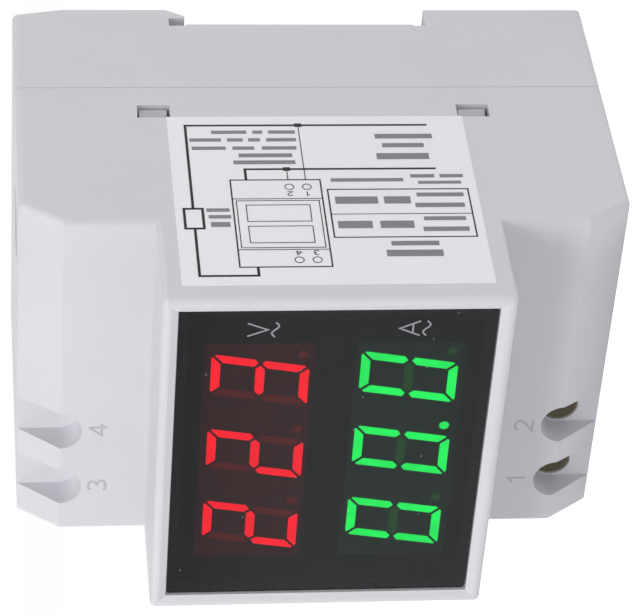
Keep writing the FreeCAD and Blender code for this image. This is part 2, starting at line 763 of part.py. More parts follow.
def build_latch_spring():
    """The coil that pushes the latch's lug up, away from the pocket's foot."""
    height = "(%s - %s - 2 * wire_radius - 2 * seam_gap)" % (LUG_LOW, POCKET_LOW)
    coil = document.addObject("Part::Helix", "Coil")
    bind(coil, "Radius", "coil_radius")
    bind(coil, "Pitch", "coil_pitch")
    bind(coil, "Height", height)
    bind(coil, "Placement.Base.y", "0 - spring_axis")
    bind(coil, "Placement.Base.z", "%s + wire_radius + seam_gap" % POCKET_LOW)
    section = document.addObject("Part::RegularPolygon", "CoilSection")
    section.Polygon = 4
    section.Placement = FreeCAD.Placement(FreeCAD.Vector(), ALONG_DEPTH)
    bind(section, "Circumradius", "wire_radius")
    bind(section, "Placement.Base.x", "coil_radius")
    bind(section, "Placement.Base.y", "0 - spring_axis")
    bind(section, "Placement.Base.z", "%s + wire_radius + seam_gap" % POCKET_LOW)
    spring = document.addObject("Part::Sweep", "Spring")
    spring.Sections = [section]
    spring.Spine = (coil, [])
    spring.Solid = True
    spring.Frenet = True
    return keep(spring, "latch_spring")


def build_display_window():
    """The dark filter, let in from the front onto the ledge behind the bezel."""
    body = new_body("display_window")
    pane = new_sketch(body, "pane", "XZ_Plane", LEDGE_DEPTH)
    pane_x = "(%s - window_gap)" % WINDOW_X
    pane_z = "(%s - window_gap)" % WINDOW_Z
    add_box(pane, "0 - " + pane_x, pane_x, "0 - " + pane_z, pane_z)
    slab = add_pad(body, pane, "window_thickness")
    dress(body, "Fillet", slab, lambda edge: edge.BoundBox.YLength > edge.BoundBox.XLength
          + edge.BoundBox.ZLength, Radius="window_corner")
    return keep(body, "display_window")


def build_displays():
    """The two three-digit light blocks behind the window."""
    for name, side in (("red_display", 1), ("green_display", -1)):
        middle = signed(side, DISPLAY_Z)
        block = box_shape(name, "0 - display_width / 2", "display_width / 2",
                          DISPLAY_REAR, DISPLAY_FRONT,
                          "%s - display_height / 2" % middle, "%s + display_height / 2" % middle)
        keep(block, name)


def build_display_board():
    """The board in the nose, staked on the cover's corner posts."""
    body = new_body("display_board")
    plate = new_sketch(body, "board", "XZ_Plane", PANEL_BOARD_REAR)
    half_x = "(%s - board_margin)" % ROOM_X
    half_z = "(%s - board_margin)" % NOSE_Z
    add_box(plate, "0 - " + half_x, half_x, "0 - " + half_z, half_z)
    for side_x in (1, -1):
        for side_z in (1, -1):
            add_corner(plate, side_x, side_z, "(stake_radius + stake_gap)")
    add_pad(body, plate, "board_thickness")
    return keep(body, "display_board")


def build_main_board():
    """The supply board beside the current transformer."""
    body = new_body("main_board")
    plate = new_sketch(body, "board", "XZ_Plane", BOARD_REAR)
    add_box(plate, BOARD_LEFT, BOARD_RIGHT, "0 - " + BOARD_TOP, BOARD_TOP)
    for across, up in post_places():
        add_circle(plate, across, up, "(stake_radius + stake_gap)")
    for side in (-1, 1):
        tail = "(%s - bar_tail / 2)" % BLOCK_END
        add_box(plate, "%s - bar_tail" % terminal_x(side), "%s + bar_tail" % terminal_x(side),
                "%s - bar_tail / 2 - stake_gap" % tail, "%s + bar_tail / 2 + stake_gap" % tail)
    add_pad(body, plate, "board_thickness")
    return keep(body, "main_board")


def build_wire_tube():
    """The insulating tube that leads the measured wire through the case."""
    length = "(case_height - 2 * cover_wall - 2 * tube_end_gap)"
    start = "(0 - %s / 2)" % length
    outer = rod_shape("tube", TUBE_OUTER, length, ALONG_HEIGHT, WIRE_X, "wire_depth", start)
    inner = rod_shape("tube_bore", "passage_radius", length, ALONG_HEIGHT, WIRE_X,
                      "wire_depth", start)
    keep(cut_shape("tube", outer, inner), "wire_tube")


def build_current_transformer():
    """The wound ring round the wire tube."""
    body = new_body("current_transformer")
    ring = new_sketch(body, "ring", "XY_Plane", "0 - transformer_height / 2")
    add_circle(ring, WIRE_X, "0 - wire_depth", "transformer_radius")
    add_circle(ring, WIRE_X, "0 - wire_depth", "(%s + transformer_gap)" % TUBE_OUTER)
    wound = add_pad(body, ring, "transformer_height")
    outer = value("2 * transformer_radius")
    dress(body, "Chamfer", wound, lambda edge: near(edge.BoundBox.XLength, outer, 0.1),
          Size="transformer_bevel")
    return keep(body, "current_transformer")


def build_terminal_block():
    """The two-pole block with a chamber for each rising clamp."""
    body = new_body("terminal_block")
    plan = new_sketch(body, "block", "XZ_Plane", BOARD_FRONT)
    add_box(plan, "%s - terminal_pitch" % TERMINAL_MID, "%s + terminal_pitch" % TERMINAL_MID,
            BLOCK_Z, BLOCK_END)
    add_pad(body, plan, BLOCK_STACK)
    chambers = new_sketch(body, "chambers", "XZ_Plane", "%s + block_floor" % BOARD_FRONT)
    screws = new_sketch(body, "screw_holes", "XZ_Plane", BLOCK_TOP)
    tails = new_sketch(body, "tail_slots", "XZ_Plane", "(%s + bar_thickness)" % BAR_REAR)
    for side in (-1, 1):
        middle = terminal_x(side)
        add_box(chambers, "%s - cage_width / 2 - slide_gap" % middle,
                "%s + cage_width / 2 + slide_gap" % middle,
                "%s - block_gap" % BLOCK_Z, "cage_length / 2 + slide_gap - " + WELL_Z)
        add_circle(screws, middle, "0 - " + WELL_Z, "(screw_radius + screw_gap)")
    add_pocket(body, chambers, "%s - block_floor - block_roof" % BLOCK_STACK, back=True)
    add_pocket(body, screws, "block_roof * 2")

    # A thin slot behind each chamber takes the contact bar and its tail
    shelf = new_sketch(body, "bar_slot", "XZ_Plane", BAR_REAR)
    for side in (-1, 1):
        middle = terminal_x(side)
        add_box(shelf, "%s - bar_width / 2 - stake_gap" % middle,
                "%s + bar_width / 2 + stake_gap" % middle,
                "cage_length / 2 - " + WELL_Z, BLOCK_END)
        add_box(tails, "%s - bar_tail - stake_gap" % middle, "%s + bar_tail + stake_gap" % middle,
                "%s - bar_tail - stake_gap" % BLOCK_END, "%s + stake_gap" % BLOCK_END)
    add_pocket(body, shelf, "bar_thickness", back=True)
    add_pocket(body, tails, "%s + bar_thickness - %s" % (BAR_REAR, BOARD_FRONT))
    return keep(body, "terminal_block")


def build_clamps():
    """For each pole the screw, its rising cage and the fixed contact bar."""
    for number, side in ((1, -1), (2, 1)):
        middle = terminal_x(side)
        axis_z = "(0 - %s)" % WELL_Z
        build_screw("terminal_screw_%d" % number, middle, axis_z)
        build_cage("clamp_cage_%d" % number, middle, axis_z)
        build_bar("contact_bar_%d" % number, middle)


def build_screw(name, middle, axis_z):
    """A cross-slotted screw, its head on the block's roof and its tip by the bar."""
    body = new_body(name)
    head = new_sketch(body, "head", "XZ_Plane", BLOCK_TOP)
    add_circle(head, middle, axis_z, "head_radius")
    add_pad(body, head, "head_height")
    shank = new_sketch(body, "shank", "XZ_Plane", BLOCK_TOP)
    add_circle(shank, middle, axis_z, "screw_radius")
    add_pad(body, shank, "%s - %s - bar_thickness - slide_gap" % (BLOCK_TOP, BAR_REAR), back=True)
    cross = new_sketch(body, "cross", "XZ_Plane", "%s + head_height" % BLOCK_TOP)
    arm, half = "head_slot_reach", "(head_slot_width / 2)"
    add_outline(cross, [
        ("%s - %s" % (middle, arm), "%s - %s" % (axis_z, half)),
        ("%s - %s" % (middle, half), "%s - %s" % (axis_z, half)),
        ("%s - %s" % (middle, half), "%s - %s" % (axis_z, arm)),
        ("%s + %s" % (middle, half), "%s - %s" % (axis_z, arm)),
        ("%s + %s" % (middle, half), "%s - %s" % (axis_z, half)),
        ("%s + %s" % (middle, arm), "%s - %s" % (axis_z, half)),
        ("%s + %s" % (middle, arm), "%s + %s" % (axis_z, half)),
        ("%s + %s" % (middle, half), "%s + %s" % (axis_z, half)),
        ("%s + %s" % (middle, half), "%s + %s" % (axis_z, arm)),
        ("%s - %s" % (middle, half), "%s + %s" % (axis_z, arm)),
        ("%s - %s" % (middle, half), "%s + %s" % (axis_z, half)),
        ("%s - %s" % (middle, arm), "%s + %s" % (axis_z, half)),
    ])
    add_pocket(body, cross, "head_slot_depth")
    keep(body, name)


def build_cage(name, middle, axis_z):
    """A square loop that the screw draws up, pressing the wire against the bar."""
    body = new_body(name)
    loop = new_sketch(body, "loop", "XY_Plane", "%s - cage_length / 2" % axis_z)
    add_box(loop, "%s - cage_width / 2" % middle, "%s + cage_width / 2" % middle,
            "0 - " + CAGE_FRONT, "0 - " + CAGE_REAR)
    add_box(loop, "%s - cage_width / 2 + cage_wall" % middle,
            "%s + cage_width / 2 - cage_wall" % middle, "0 - " + CAGE_ROOF, "0 - " + WIRE_REAR)
    add_pad(body, loop, "cage_length")
    thread = new_sketch(body, "thread", "XZ_Plane", CAGE_FRONT)
    add_circle(thread, middle, axis_z, "(screw_radius + screw_gap)")
    add_pocket(body, thread, "cage_roof")
    keep(body, name)


def build_bar(name, middle):
    """The contact bar through the cage, with a tail down into the board."""
    front = "(%s + bar_thickness)" % BAR_REAR
    bar = box_shape(name, "%s - bar_width / 2" % middle, "%s + bar_width / 2" % middle,
                    BAR_REAR, front, "%s + block_gap" % BLOCK_Z, BLOCK_END)
    tail = box_shape(name + "_tail", "%s - bar_tail + stake_gap" % middle,
                     "%s + bar_tail - stake_gap" % middle, BOARD_REAR, front,
                     "%s - bar_tail" % BLOCK_END, BLOCK_END)
    keep(fuse_shape(name, [bar, tail]), name)


def build_board_parts():
    """The supply parts that stand on the main board, in rows above the terminals."""
    left = "(%s + part_spacing)" % BOARD_LEFT
    mid = "((%s + %s) / 2)" % (BOARD_LEFT, BOARD_RIGHT)
    row = "(post_low - case_height / 2 + post_radius)"
    film = box_shape("film", "%s - film_length / 2" % mid, "%s + film_length / 2" % mid,
                     BOARD_FRONT, "%s + film_height" % BOARD_FRONT,
                     row, "%s + film_width" % row)
    keep(film, "film_capacitor")
    row = "(%s + film_width + part_spacing)" % row

    can = rod_shape("filter", "filter_radius", "filter_height", ALONG_DEPTH,
                    "%s + filter_radius" % left, BOARD_FRONT, "%s + filter_radius" % row)
    keep(can, "filter_capacitor")
    can = rod_shape("output", "output_radius", "output_height", ALONG_DEPTH,
                    "%s + 2 * filter_radius + part_spacing + output_radius" % left,
                    BOARD_FRONT, "%s + output_radius" % row)
    keep(can, "output_capacitor")
    row = "(%s + 2 * filter_radius + part_spacing)" % row

    bridge = box_shape("rectifier", left, "%s + rectifier_length" % left,
                       BOARD_FRONT, "%s + rectifier_height" % BOARD_FRONT,
                       row, "%s + rectifier_width" % row)
    keep(bridge, "bridge_rectifier")
    regulator = rod_shape("regulator", "regulator_radius", "regulator_height", ALONG_DEPTH,
                          "%s - part_spacing - regulator_radius" % BOARD_RIGHT,
                          BOARD_FRONT, "%s + regulator_radius" % row)
    keep(regulator, "regulator")
    row = "(%s + rectifier_width + part_spacing)" % row

    disc_x = "(%s + varistor_radius)" % left
    disc = rod_shape("varistor", "varistor_radius", "varistor_thickness", ALONG_HEIGHT, disc_x,
                     "%s + lead_height + varistor_radius" % BOARD_FRONT, row)
    leads = [rod_shape("varistor_lead", "lead_radius", "lead_height + varistor_radius",
                       ALONG_DEPTH, "%s + %g * lead_spread / 2" % (disc_x, side), BOARD_FRONT,
                       "%s + varistor_thickness / 2" % row) for side in (-1, 1)]
    keep(fuse_shape("varistor", [disc] + leads), "varistor")
    row = "(%s + varistor_thickness + part_spacing)" % row

    cement = box_shape("fuse", left, "%s + fuse_length" % left,
                       BOARD_FRONT, "%s + fuse_height" % BOARD_FRONT,
                       row, "%s + fuse_width" % row)
    keep(cement, "fuse_resistor")
    row = "(%s + fuse_width + part_spacing)" % row
    build_header(left, row)
    row = "(%s + header_strip + part_spacing)" % row

    for number in (1, 2):
        start = "(%s + %d * (trimmer_side + part_spacing))" % (left, number - 1)
        build_trimmer("calibration_trimmer_%d" % number, start, row)


def build_trimmer(name, start, row):
    """A square calibration trimmer with a round dial on top."""
    top = "(%s + trimmer_height)" % BOARD_FRONT
    cube = box_shape(name, start, "%s + trimmer_side" % start, BOARD_FRONT, top,
                     row, "%s + trimmer_side" % row)
    dial = rod_shape(name + "_dial", "trimmer_dial", "lead_radius", ALONG_DEPTH,
                     "%s + trimmer_side / 2" % start, top, "%s + trimmer_side / 2" % row)
    keep(fuse_shape(name, [cube, dial]), name)


def build_header(left, row):
    """The row of pins that joins the two boards, with a strip at each end."""
    length = "(%d * pin_spacing)" % HEADER_PINS
    pieces = []
    for name, rear, front in (
            ("header_low", BOARD_FRONT, "%s + header_strip" % BOARD_FRONT),
            ("header_high", "%s - header_strip" % PANEL_BOARD_REAR, PANEL_BOARD_REAR)):
        pieces.append(box_shape(name, left, "%s + %s" % (left, length), rear, front,
                                row, "%s + header_strip" % row))
    for pin in range(HEADER_PINS):
        middle = "(%s + %g * pin_spacing)" % (left, pin + 0.5)
        pieces.append(box_shape("header_pin", "%s - pin_side / 2" % middle,
                                "%s + pin_side / 2" % middle, BOARD_FRONT, PANEL_BOARD_REAR,
                                "%s + header_strip / 2 - pin_side / 2" % row,
                                "%s + header_strip / 2 + pin_side / 2" % row))
    keep(fuse_shape("header", pieces), "board_header")


def build_chips():
    """The controller and the display driver on the back of the display board."""
    for name, side in (("microcontroller", 1), ("display_driver", -1)):
        middle = signed(side, "(chip_length / 2 + part_spacing)")
        chip = box_shape(name, "%s - chip_length / 2" % middle, "%s + chip_length / 2" % middle,
                         "%s - chip_height" % PANEL_BOARD_REAR, PANEL_BOARD_REAR,
                         "0 - chip_width - part_spacing", "0 - part_spacing")
        keep(chip, name)


def build_side_label():
    """The printed sticker on the right-hand side."""
    label = box_shape("label", HALF_WIDTH, "case_width / 2 + label_thickness",
                      "label_start", "front_depth - label_end",
                      "0 - label_height / 2", "label_height / 2")
    keep(label, "side_label")


def check_and_write():
    """Stop on any failed object or shape, then write each sub-part."""
    document.recompute()
    for thing in document.Objects:
        if "Invalid" in thing.State or "Error" in thing.State:
            raise RuntimeError("%s failed: %s" % (thing.Name, thing.State))
    for thing in subparts:
        if thing.Shape.isNull() or not thing.Shape.isValid():
            raise RuntimeError("%s has no valid shape" % thing.Label)
    os.makedirs("parts", exist_ok=True)
    for thing in subparts:
        thing.Shape.exportStep("parts/%s.step" % thing.Label)
        box = thing.Shape.BoundBox
        print("%-22s %8.1f mm3  %d solid  x %.2f %.2f  y %.2f %.2f  z %.2f %.2f" % (
            thing.Label, thing.Shape.Volume, len(thing.Shape.Solids), box.XMin, box.XMax,
            box.YMin, box.YMax, box.ZMin, box.ZMax))


build_front_cover()
build_rear_base()
build_rail_latch()
build_latch_spring()
build_display_window()
build_displays()
build_display_board()
build_main_board()
build_wire_tube()
build_current_transformer()
build_terminal_block()
build_clamps()
build_board_parts()
build_chips()
build_side_label()
check_and_write()
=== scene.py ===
"""Dresses the din rail multifunction meter: finishes, lit digits, label art, latch spring and stage."""

import math

import bmesh
import bpy
from bpy.props import FloatProperty, FloatVectorProperty, PointerProperty, StringProperty
from mathutils import Matrix, Vector


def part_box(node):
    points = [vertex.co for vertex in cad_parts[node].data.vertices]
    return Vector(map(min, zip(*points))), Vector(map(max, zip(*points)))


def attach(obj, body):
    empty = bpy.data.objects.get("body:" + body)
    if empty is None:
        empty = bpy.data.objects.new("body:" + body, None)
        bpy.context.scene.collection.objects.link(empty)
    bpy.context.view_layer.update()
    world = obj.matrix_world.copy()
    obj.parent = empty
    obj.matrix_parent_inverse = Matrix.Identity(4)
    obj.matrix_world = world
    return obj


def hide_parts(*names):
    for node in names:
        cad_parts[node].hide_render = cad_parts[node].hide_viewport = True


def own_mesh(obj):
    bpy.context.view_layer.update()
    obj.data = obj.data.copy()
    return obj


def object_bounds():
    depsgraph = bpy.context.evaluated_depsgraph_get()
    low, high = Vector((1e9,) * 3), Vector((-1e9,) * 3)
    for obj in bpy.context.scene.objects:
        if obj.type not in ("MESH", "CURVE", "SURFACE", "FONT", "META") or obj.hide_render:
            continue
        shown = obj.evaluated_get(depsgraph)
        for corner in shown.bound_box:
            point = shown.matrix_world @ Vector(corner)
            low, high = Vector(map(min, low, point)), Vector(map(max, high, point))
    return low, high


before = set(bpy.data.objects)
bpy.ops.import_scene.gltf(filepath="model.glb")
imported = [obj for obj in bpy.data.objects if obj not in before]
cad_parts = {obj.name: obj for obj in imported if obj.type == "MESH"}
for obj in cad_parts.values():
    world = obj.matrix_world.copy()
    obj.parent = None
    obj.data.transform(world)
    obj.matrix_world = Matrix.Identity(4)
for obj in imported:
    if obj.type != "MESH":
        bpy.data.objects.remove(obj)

bl_info = {
    "name": "Rail Meter",
    "version": (1, 0, 0),
    "blender": (4, 5, 0),
    "location": "View3D > Sidebar > Meter",
    "description": "Finishes, digits, label and stage of a two-row rail-mounting meter",
    "category": "Object",
}

CAD_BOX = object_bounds()
MM = 0.001

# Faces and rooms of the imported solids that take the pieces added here, in metres.
SHOULDER_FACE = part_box("lower_shoulder")[0].y
WINDOW_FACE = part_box("display_window")[0].y
DISPLAY_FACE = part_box("red_display")[0].y
BLOCK_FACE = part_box("terminal_block")[0].y
LABEL_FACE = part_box("side_label")[1].x
SPRING_LOW, SPRING_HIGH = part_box("latch_spring")


def linear(hex_text):
    """Turns an sRGB hex value to linear red, green, blue and an opaque alpha."""
    parts = [int(hex_text[i:i + 2], 16) / 255 for i in (1, 3, 5)]
    light = [c / 12.92 if c <= 0.04045 else ((c + 0.055) / 1.055) ** 2.4 for c in parts]
    return (*light, 1.0)


def length(name, value, text):
    """A size property, given in millimetres and kept in metres."""
    return FloatProperty(name=name, description=text, default=value * MM, unit="LENGTH", precision=5)


def colour(name, hex_text, text):
    """A colour property from an sRGB hex value."""
    return FloatVectorProperty(name=name, description=text, subtype="COLOR", size=4, min=0, max=1,
                               default=linear(hex_text))


class MeterSizes(bpy.types.PropertyGroup):
    """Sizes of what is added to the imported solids."""

    digit_height: length("Digit height", 13.05, "Outer height of one digit")
    digit_width: length("Digit width", 7.15, "Outer width of one digit before it leans")
    digit_pitch: length("Digit pitch", 12.72, "Distance between the centres of two digits")
    digit_lean: FloatProperty(name="Digit lean", description="Lean of the digits to the right",
                              default=math.radians(10), unit="ROTATION")
    segment_width: length("Segment width", 1.6, "Width of one bar of a digit and its share of the gaps")
    segment_gap: length("Segment gap", 0.41, "Dark gap between two bars")
    corner_cut: length("Corner cut", 0.75, "How far the outer corners of a digit are cut off")
    joint_cut: length("Joint cut", 0.55, "How far two upright bars draw apart at the outer side")
    segment_rise: length("Segment rise", 0.05, "How far a bar stands off the face of its housing")
    point_radius: length("Point radius", 0.65, "Radius of a decimal point")
    point_offset: length("Point offset", 4.25, "Decimal point from the centre of its digit")
    point_drop: length("Point drop", 5.38, "Decimal point below the centre of its digit")
    numeral_height: length("Numeral height", 2.4, "Height of the terminal numerals")
    numeral_stroke: length("Numeral stroke", 0.32, "Stroke width of the terminal numerals")
    mark_height: length("Unit mark height", 2.6, "Height of the unit marks on the window")
    mark_stroke: length("Unit mark stroke", 0.22, "Stroke width of the unit marks")
    print_rise: length("Print rise", 0.02, "Thickness of printed ink above what carries it")
    heavy_line: length("Heavy line", 0.36, "Width of the label's supply lines")
    medium_line: length("Medium line", 0.2, "Width of the label's outlines")
    fine_line: length("Fine line", 0.13, "Width of the label's thin lines")
    # The collars darken the screw holes with the block's dull olive: partly painted shade.
    collar_height: length("Collar height", 3.4, "How far the block's collars reach into the screw holes")
    collar_wall: length("Collar wall", 0.11, "Wall of a collar")
    collar_gap: length("Collar gap", 0.06, "Gap between a collar and the screw head")
    wire_thickness: length("Spring wire", 0.3, "Thickness of the latch spring's wire")
    spring_turns: FloatProperty(name="Spring turns", description="Open turns of the latch spring",
                                default=5.0, min=1)


class MeterColours(bpy.types.PropertyGroup):
    """Colours of the finishes."""

    case: colour("Case", "#DADADF", "Moulded case halves")
    latch: colour("Latch", "#45474B", "Moulded rail latch")
    window: colour("Window", "#0B0D12", "Smoked window")
    # The digit colours also tint the painted glow of the unlit bars. Red also tints the upper housing's
    # painted glow, and green haze the lower housing's.
    red: colour("Red digits", "#FF0020", "Lit bars of the upper row")
    green: colour("Green digits", "#00F45A", "Lit bars of the lower row")
    green_haze: colour("Green haze", "#00D89A", "Glow of the housing round the lower row")
    label: colour("Label", "#F8F8FC", "Film of the side label")
    ink: colour("Ink", "#08090D", "Lines of the side label")
    grey_ink: colour("Grey ink", "#77797F", "Word bars of the side label")
    numeral: colour("Numerals", "#B9BABF", "Numerals beside the terminals")
    board: colour("Board", "#1F6B3A", "Solder mask of the circuit boards")
    # The block's dull olive also lines the screw holes, where it is partly painted shade and partly the
    # holes' olive tint.
    block: colour("Terminal block", "#8C8468", "Moulded terminal block")
    tube: colour("Tube", "#C4C6C9", "Tube round the measured wire")
    tape: colour("Tape", "#D8B53A", "Tape wound on the current transformer")


def add_node(tree, kind, inputs=None, stops=(), **settings):
    """Adds one node, sets its inputs by value or link, and sets its colour stops and other settings."""
    node = tree.nodes.new(kind)
    for name, value in settings.items():
        setattr(node, name, value)
    for name, value in (inputs or {}).items():
        if isinstance(value, bpy.types.NodeSocket):
            tree.links.new(value, node.inputs[name])
        else:
            node.inputs[name].default_value = value
    for index, (place, shade) in enumerate(stops):
        ramp = node.color_ramp.elements
        stop = ramp[index] if index < 2 else ramp.new(place)
        stop.position = place
        stop.color = shade
    return node


def shaded(shade, factor):
    """The same colour, lighter or darker."""
    return (*[min(1.0, c * factor) for c in shade[:3]], 1.0)


def new_surface(name, inputs):
    """A material with one surface shader; returns it, its nodes, its shader and its place in metres."""
    material = bpy.data.materials.new(name)
    material.use_nodes = True
    tree = material.node_tree
    tree.nodes.clear()
    shader = add_node(tree, "ShaderNodeBsdfPrincipled", inputs)
    add_node(tree, "ShaderNodeOutputMaterial", {"Surface": shader.outputs[0]})
    place = add_node(tree, "ShaderNodeTexCoord").outputs["Object"]
    return material, tree, shader, place


# A noise texture stays mostly between these two values.
NOISE_LOW, NOISE_HIGH = 0.3, 0.7
# Length of one band of a wave texture at a scale of one.
WAVE_BAND = math.tau / 20


def grained(name, shade, spread, patch_mm, rough, grain_mm, depth_mm, stretch=(1, 1, 1), **inputs):
    """A surface with soft patches of tone and gloss and a fine raised grain.

    spread is the change of tone, rough the lowest and highest roughness, and patch_mm, grain_mm and
    depth_mm the real sizes of the patches, the grain and its relief. The grain is as many times finer
    along each axis as stretch says.
    """
    material, tree, shader, place = new_surface(name, inputs)
    patches = add_node(tree, "ShaderNodeTexNoise",
                       {"Vector": place, "Scale": 1 / (patch_mm * MM), "Detail": 3.0})
    tone = add_node(tree, "ShaderNodeValToRGB", {"Fac": patches.outputs["Fac"]},
                    stops=[(NOISE_LOW, shaded(shade, 1 - spread)), (NOISE_HIGH, shaded(shade, 1 + spread))])
    gloss = add_node(tree, "ShaderNodeMapRange",
                     {"Value": patches.outputs["Fac"], "From Min": NOISE_LOW, "From Max": NOISE_HIGH,
                      "To Min": rough[0], "To Max": rough[1]})
    drawn = add_node(tree, "ShaderNodeMapping", {"Vector": place, "Scale": stretch})
    grain = add_node(tree, "ShaderNodeTexNoise",
                     {"Vector": drawn.outputs[0], "Scale": 1 / (grain_mm * MM), "Detail": 2.0})
    relief = add_node(tree, "ShaderNodeBump", {"Height": grain.outputs["Fac"], "Distance": depth_mm * MM})
    tree.links.new(tone.outputs[0], shader.inputs["Base Color"])
    tree.links.new(gloss.outputs[0], shader.inputs["Roughness"])
    tree.links.new(relief.outputs[0], shader.inputs["Normal"])
    return material


def moulded_polycarbonate(shade):
    """Polycarbonate from a spark-eroded tool: a satin face with a fine even grain and faint flow tones."""
    # The tool's 0.1 mm grain is too fine to show, so it is drawn at 0.4 mm.
    return grained("spark_textured_polycarbonate", shade, spread=0.018, patch_mm=14, rough=(0.36, 0.5),
                   grain_mm=0.4, depth_mm=0.012)


def moulded_acetal(shade):
    """Acetal, moulded: a slippery dark satin face with faint flow streaks along its length."""
    # The streaks are about 0.1 mm wide, too fine to show, so they are drawn 0.3 mm wide.
    return grained("moulded_acetal", shade, spread=0.05, patch_mm=5, rough=(0.3, 0.44),
                   grain_mm=0.9, depth_mm=0.015, stretch=(3, 1, 0.5))


def smoked_acrylic(shade, see_through):
    """Cast smoked acrylic, polished: almost black with a clear gloss and a few specks of dust."""
    material, tree, shader, place = new_surface("smoked_acrylic", {
        "Roughness": 0.12, "Specular IOR Level": 0.24, "Alpha": 1 - see_through, "IOR": 1.49})
    # One cell in five, 5 mm wide, holds a speck: solid for 0.14 mm, and fading out at 0.28 mm.
    cell_mm, share = 5, 0.2
    face = add_node(tree, "ShaderNodeMapping", {"Vector": place, "Rotation": (math.pi / 2, 0, 0)})
    specks = add_node(tree, "ShaderNodeTexVoronoi",
                      {"Vector": face.outputs[0], "Scale": 1 / (cell_mm * MM)}, voronoi_dimensions="2D")
    spot = add_node(tree, "ShaderNodeMapRange",
                    {"Value": specks.outputs["Distance"], "From Min": 0.07 / cell_mm,
                     "From Max": 0.14 / cell_mm, "To Min": 1.0, "To Max": 0.0})
    chosen = add_node(tree, "ShaderNodeSeparateColor", {"Color": specks.outputs["Color"]})
    few = add_node(tree, "ShaderNodeMath", {0: chosen.outputs[0], 1: 1 - share}, operation="GREATER_THAN")
    mask = add_node(tree, "ShaderNodeMath", {0: spot.outputs[0], 1: few.outputs[0]}, operation="MULTIPLY")
    dusty = add_node(tree, "ShaderNodeValToRGB", {"Fac": mask.outputs[0]},
                     stops=[(0.0, shade), (1.0, linear("#8C8E94"))])
    tree.links.new(dusty.outputs[0], shader.inputs["Base Color"])
    return material


def lit_epoxy(name, shade, level):
    """Diffusing epoxy over a lit die: a saturated bar, a little hotter along its middle."""
    material, tree, shader, place = new_surface(name, {
        "Base Color": shaded(shade, 0.25), "Roughness": 0.5, "Emission Strength": level})
    # Each die lights a patch about 3 mm wide.
    dies = add_node(tree, "ShaderNodeTexNoise", {"Vector": place, "Scale": 1 / (3 * MM), "Detail": 1.0})
    glow = add_node(tree, "ShaderNodeValToRGB", {"Fac": dies.outputs["Fac"]},
                    stops=[(0.35, shaded(shade, 0.86)), (0.65, shade)])
    tree.links.new(glow.outputs[0], shader.inputs["Emission Color"])
    return material


def display_housing(name, shade, level):
    """Black housing filled with tinted epoxy: its front face takes a weak even glow, painted light that
    stands in for light scattered from the lit bars.
    """
    material, tree, shader, place = new_surface(name, {
        "Base Color": linear("#141518"), "Roughness": 0.4, "Emission Strength": level})
    facing = add_node(tree, "ShaderNodeNewGeometry")
    parts = add_node(tree, "ShaderNodeSeparateXYZ", {"Vector": facing.outputs["Normal"]})
    front = add_node(tree, "ShaderNodeMath", {0: parts.outputs["Y"], 1: -0.5}, operation="LESS_THAN")
    # The glow is uneven at about 6 mm, the distance between two lit bars.
    uneven = add_node(tree, "ShaderNodeTexNoise", {"Vector": place, "Scale": 1 / (6 * MM), "Detail": 1.0})
    amount = add_node(tree, "ShaderNodeMapRange",
                      {"Value": uneven.outputs["Fac"], "To Min": 0.7, "To Max": 1.2})
    share = add_node(tree, "ShaderNodeMath", {0: front.outputs[0], 1: amount.outputs[0]},
                     operation="MULTIPLY")
    glow = add_node(tree, "ShaderNodeValToRGB", {"Fac": share.outputs[0]},
                    stops=[(0.0, linear("#000000")), (1.0, shade)])
    tree.links.new(glow.outputs[0], shader.inputs["Emission Color"])
    return material


def masked_board(shade):
    """Glass epoxy board under solder mask: glossy, with copper lines showing through as a lighter tone."""
    material, tree, shader, place = new_surface("solder_masked_board", {"Roughness": 0.28})
    # Tracks round cells of 2.5 mm, flat for 0.25 mm and 0.45 mm wide at their feet.
    cell_mm = 2.5
    tracks = add_node(tree, "ShaderNodeTexVoronoi", {"Vector": place, "Scale": 1 / (cell_mm * MM)},
                      feature="DISTANCE_TO_EDGE")
    line = add_node(tree, "ShaderNodeMapRange",
                    {"Value": tracks.outputs["Distance"], "From Min": 0.125 / cell_mm,
                     "From Max": 0.225 / cell_mm, "To Min": 1.0, "To Max": 0.0})
    mask = add_node(tree, "ShaderNodeValToRGB", {"Fac": line.outputs[0]},
                    stops=[(0.0, shade), (1.0, shaded(shade, 1.7))])
    relief = add_node(tree, "ShaderNodeBump", {"Height": line.outputs[0], "Distance": 0.03 * MM})
    tree.links.new(mask.outputs[0], shader.inputs["Base Color"])
    tree.links.new(relief.outputs[0], shader.inputs["Normal"])
    return material


def wound_tape(shade):
    """Polyester film tape in overlapping turns: glossy bands with a step at each lap."""
    material, tree, shader, place = new_surface("wound_polyester_tape", {"Roughness": 0.25})
    # Each lap shows about 3.16 mm of tape.
    laps = add_node(tree, "ShaderNodeTexWave",
                    {"Vector": place, "Scale": WAVE_BAND / (3.16 * MM), "Distortion": 0.6, "Detail": 1.0},
                    bands_direction="Z", wave_profile="SAW")
    tone = add_node(tree, "ShaderNodeValToRGB", {"Fac": laps.outputs["Fac"]},
                    stops=[(0.0, shaded(shade, 0.78)), (0.8, shade)])
    step = add_node(tree, "ShaderNodeBump", {"Height": laps.outputs["Fac"], "Distance": 0.06 * MM})
    tree.links.new(tone.outputs[0], shader.inputs["Base Color"])
    tree.links.new(step.outputs[0], shader.inputs["Normal"])
    return material


def printed_film(shade):
    """Semi-gloss polyester film, die cut: brighter than the case, very even, with a weak orange peel."""
    return grained("semi_gloss_polyester_film", shade, spread=0.008, patch_mm=20, rough=(0.28, 0.36),
                   grain_mm=1.2, depth_mm=0.004)


def printed_ink(name, shade, spread=0.03, patch_mm=1, rough=(0.35, 0.45), **inputs):
    """Printed ink: a thin flat film, a little uneven in tone and gloss where it lies thicker."""
    # The print's 0.1 mm grain is too fine to show, so it is drawn at 0.3 mm.
    return grained(name, shade, spread, patch_mm, rough, grain_mm=0.3, depth_mm=0.003, **inputs)


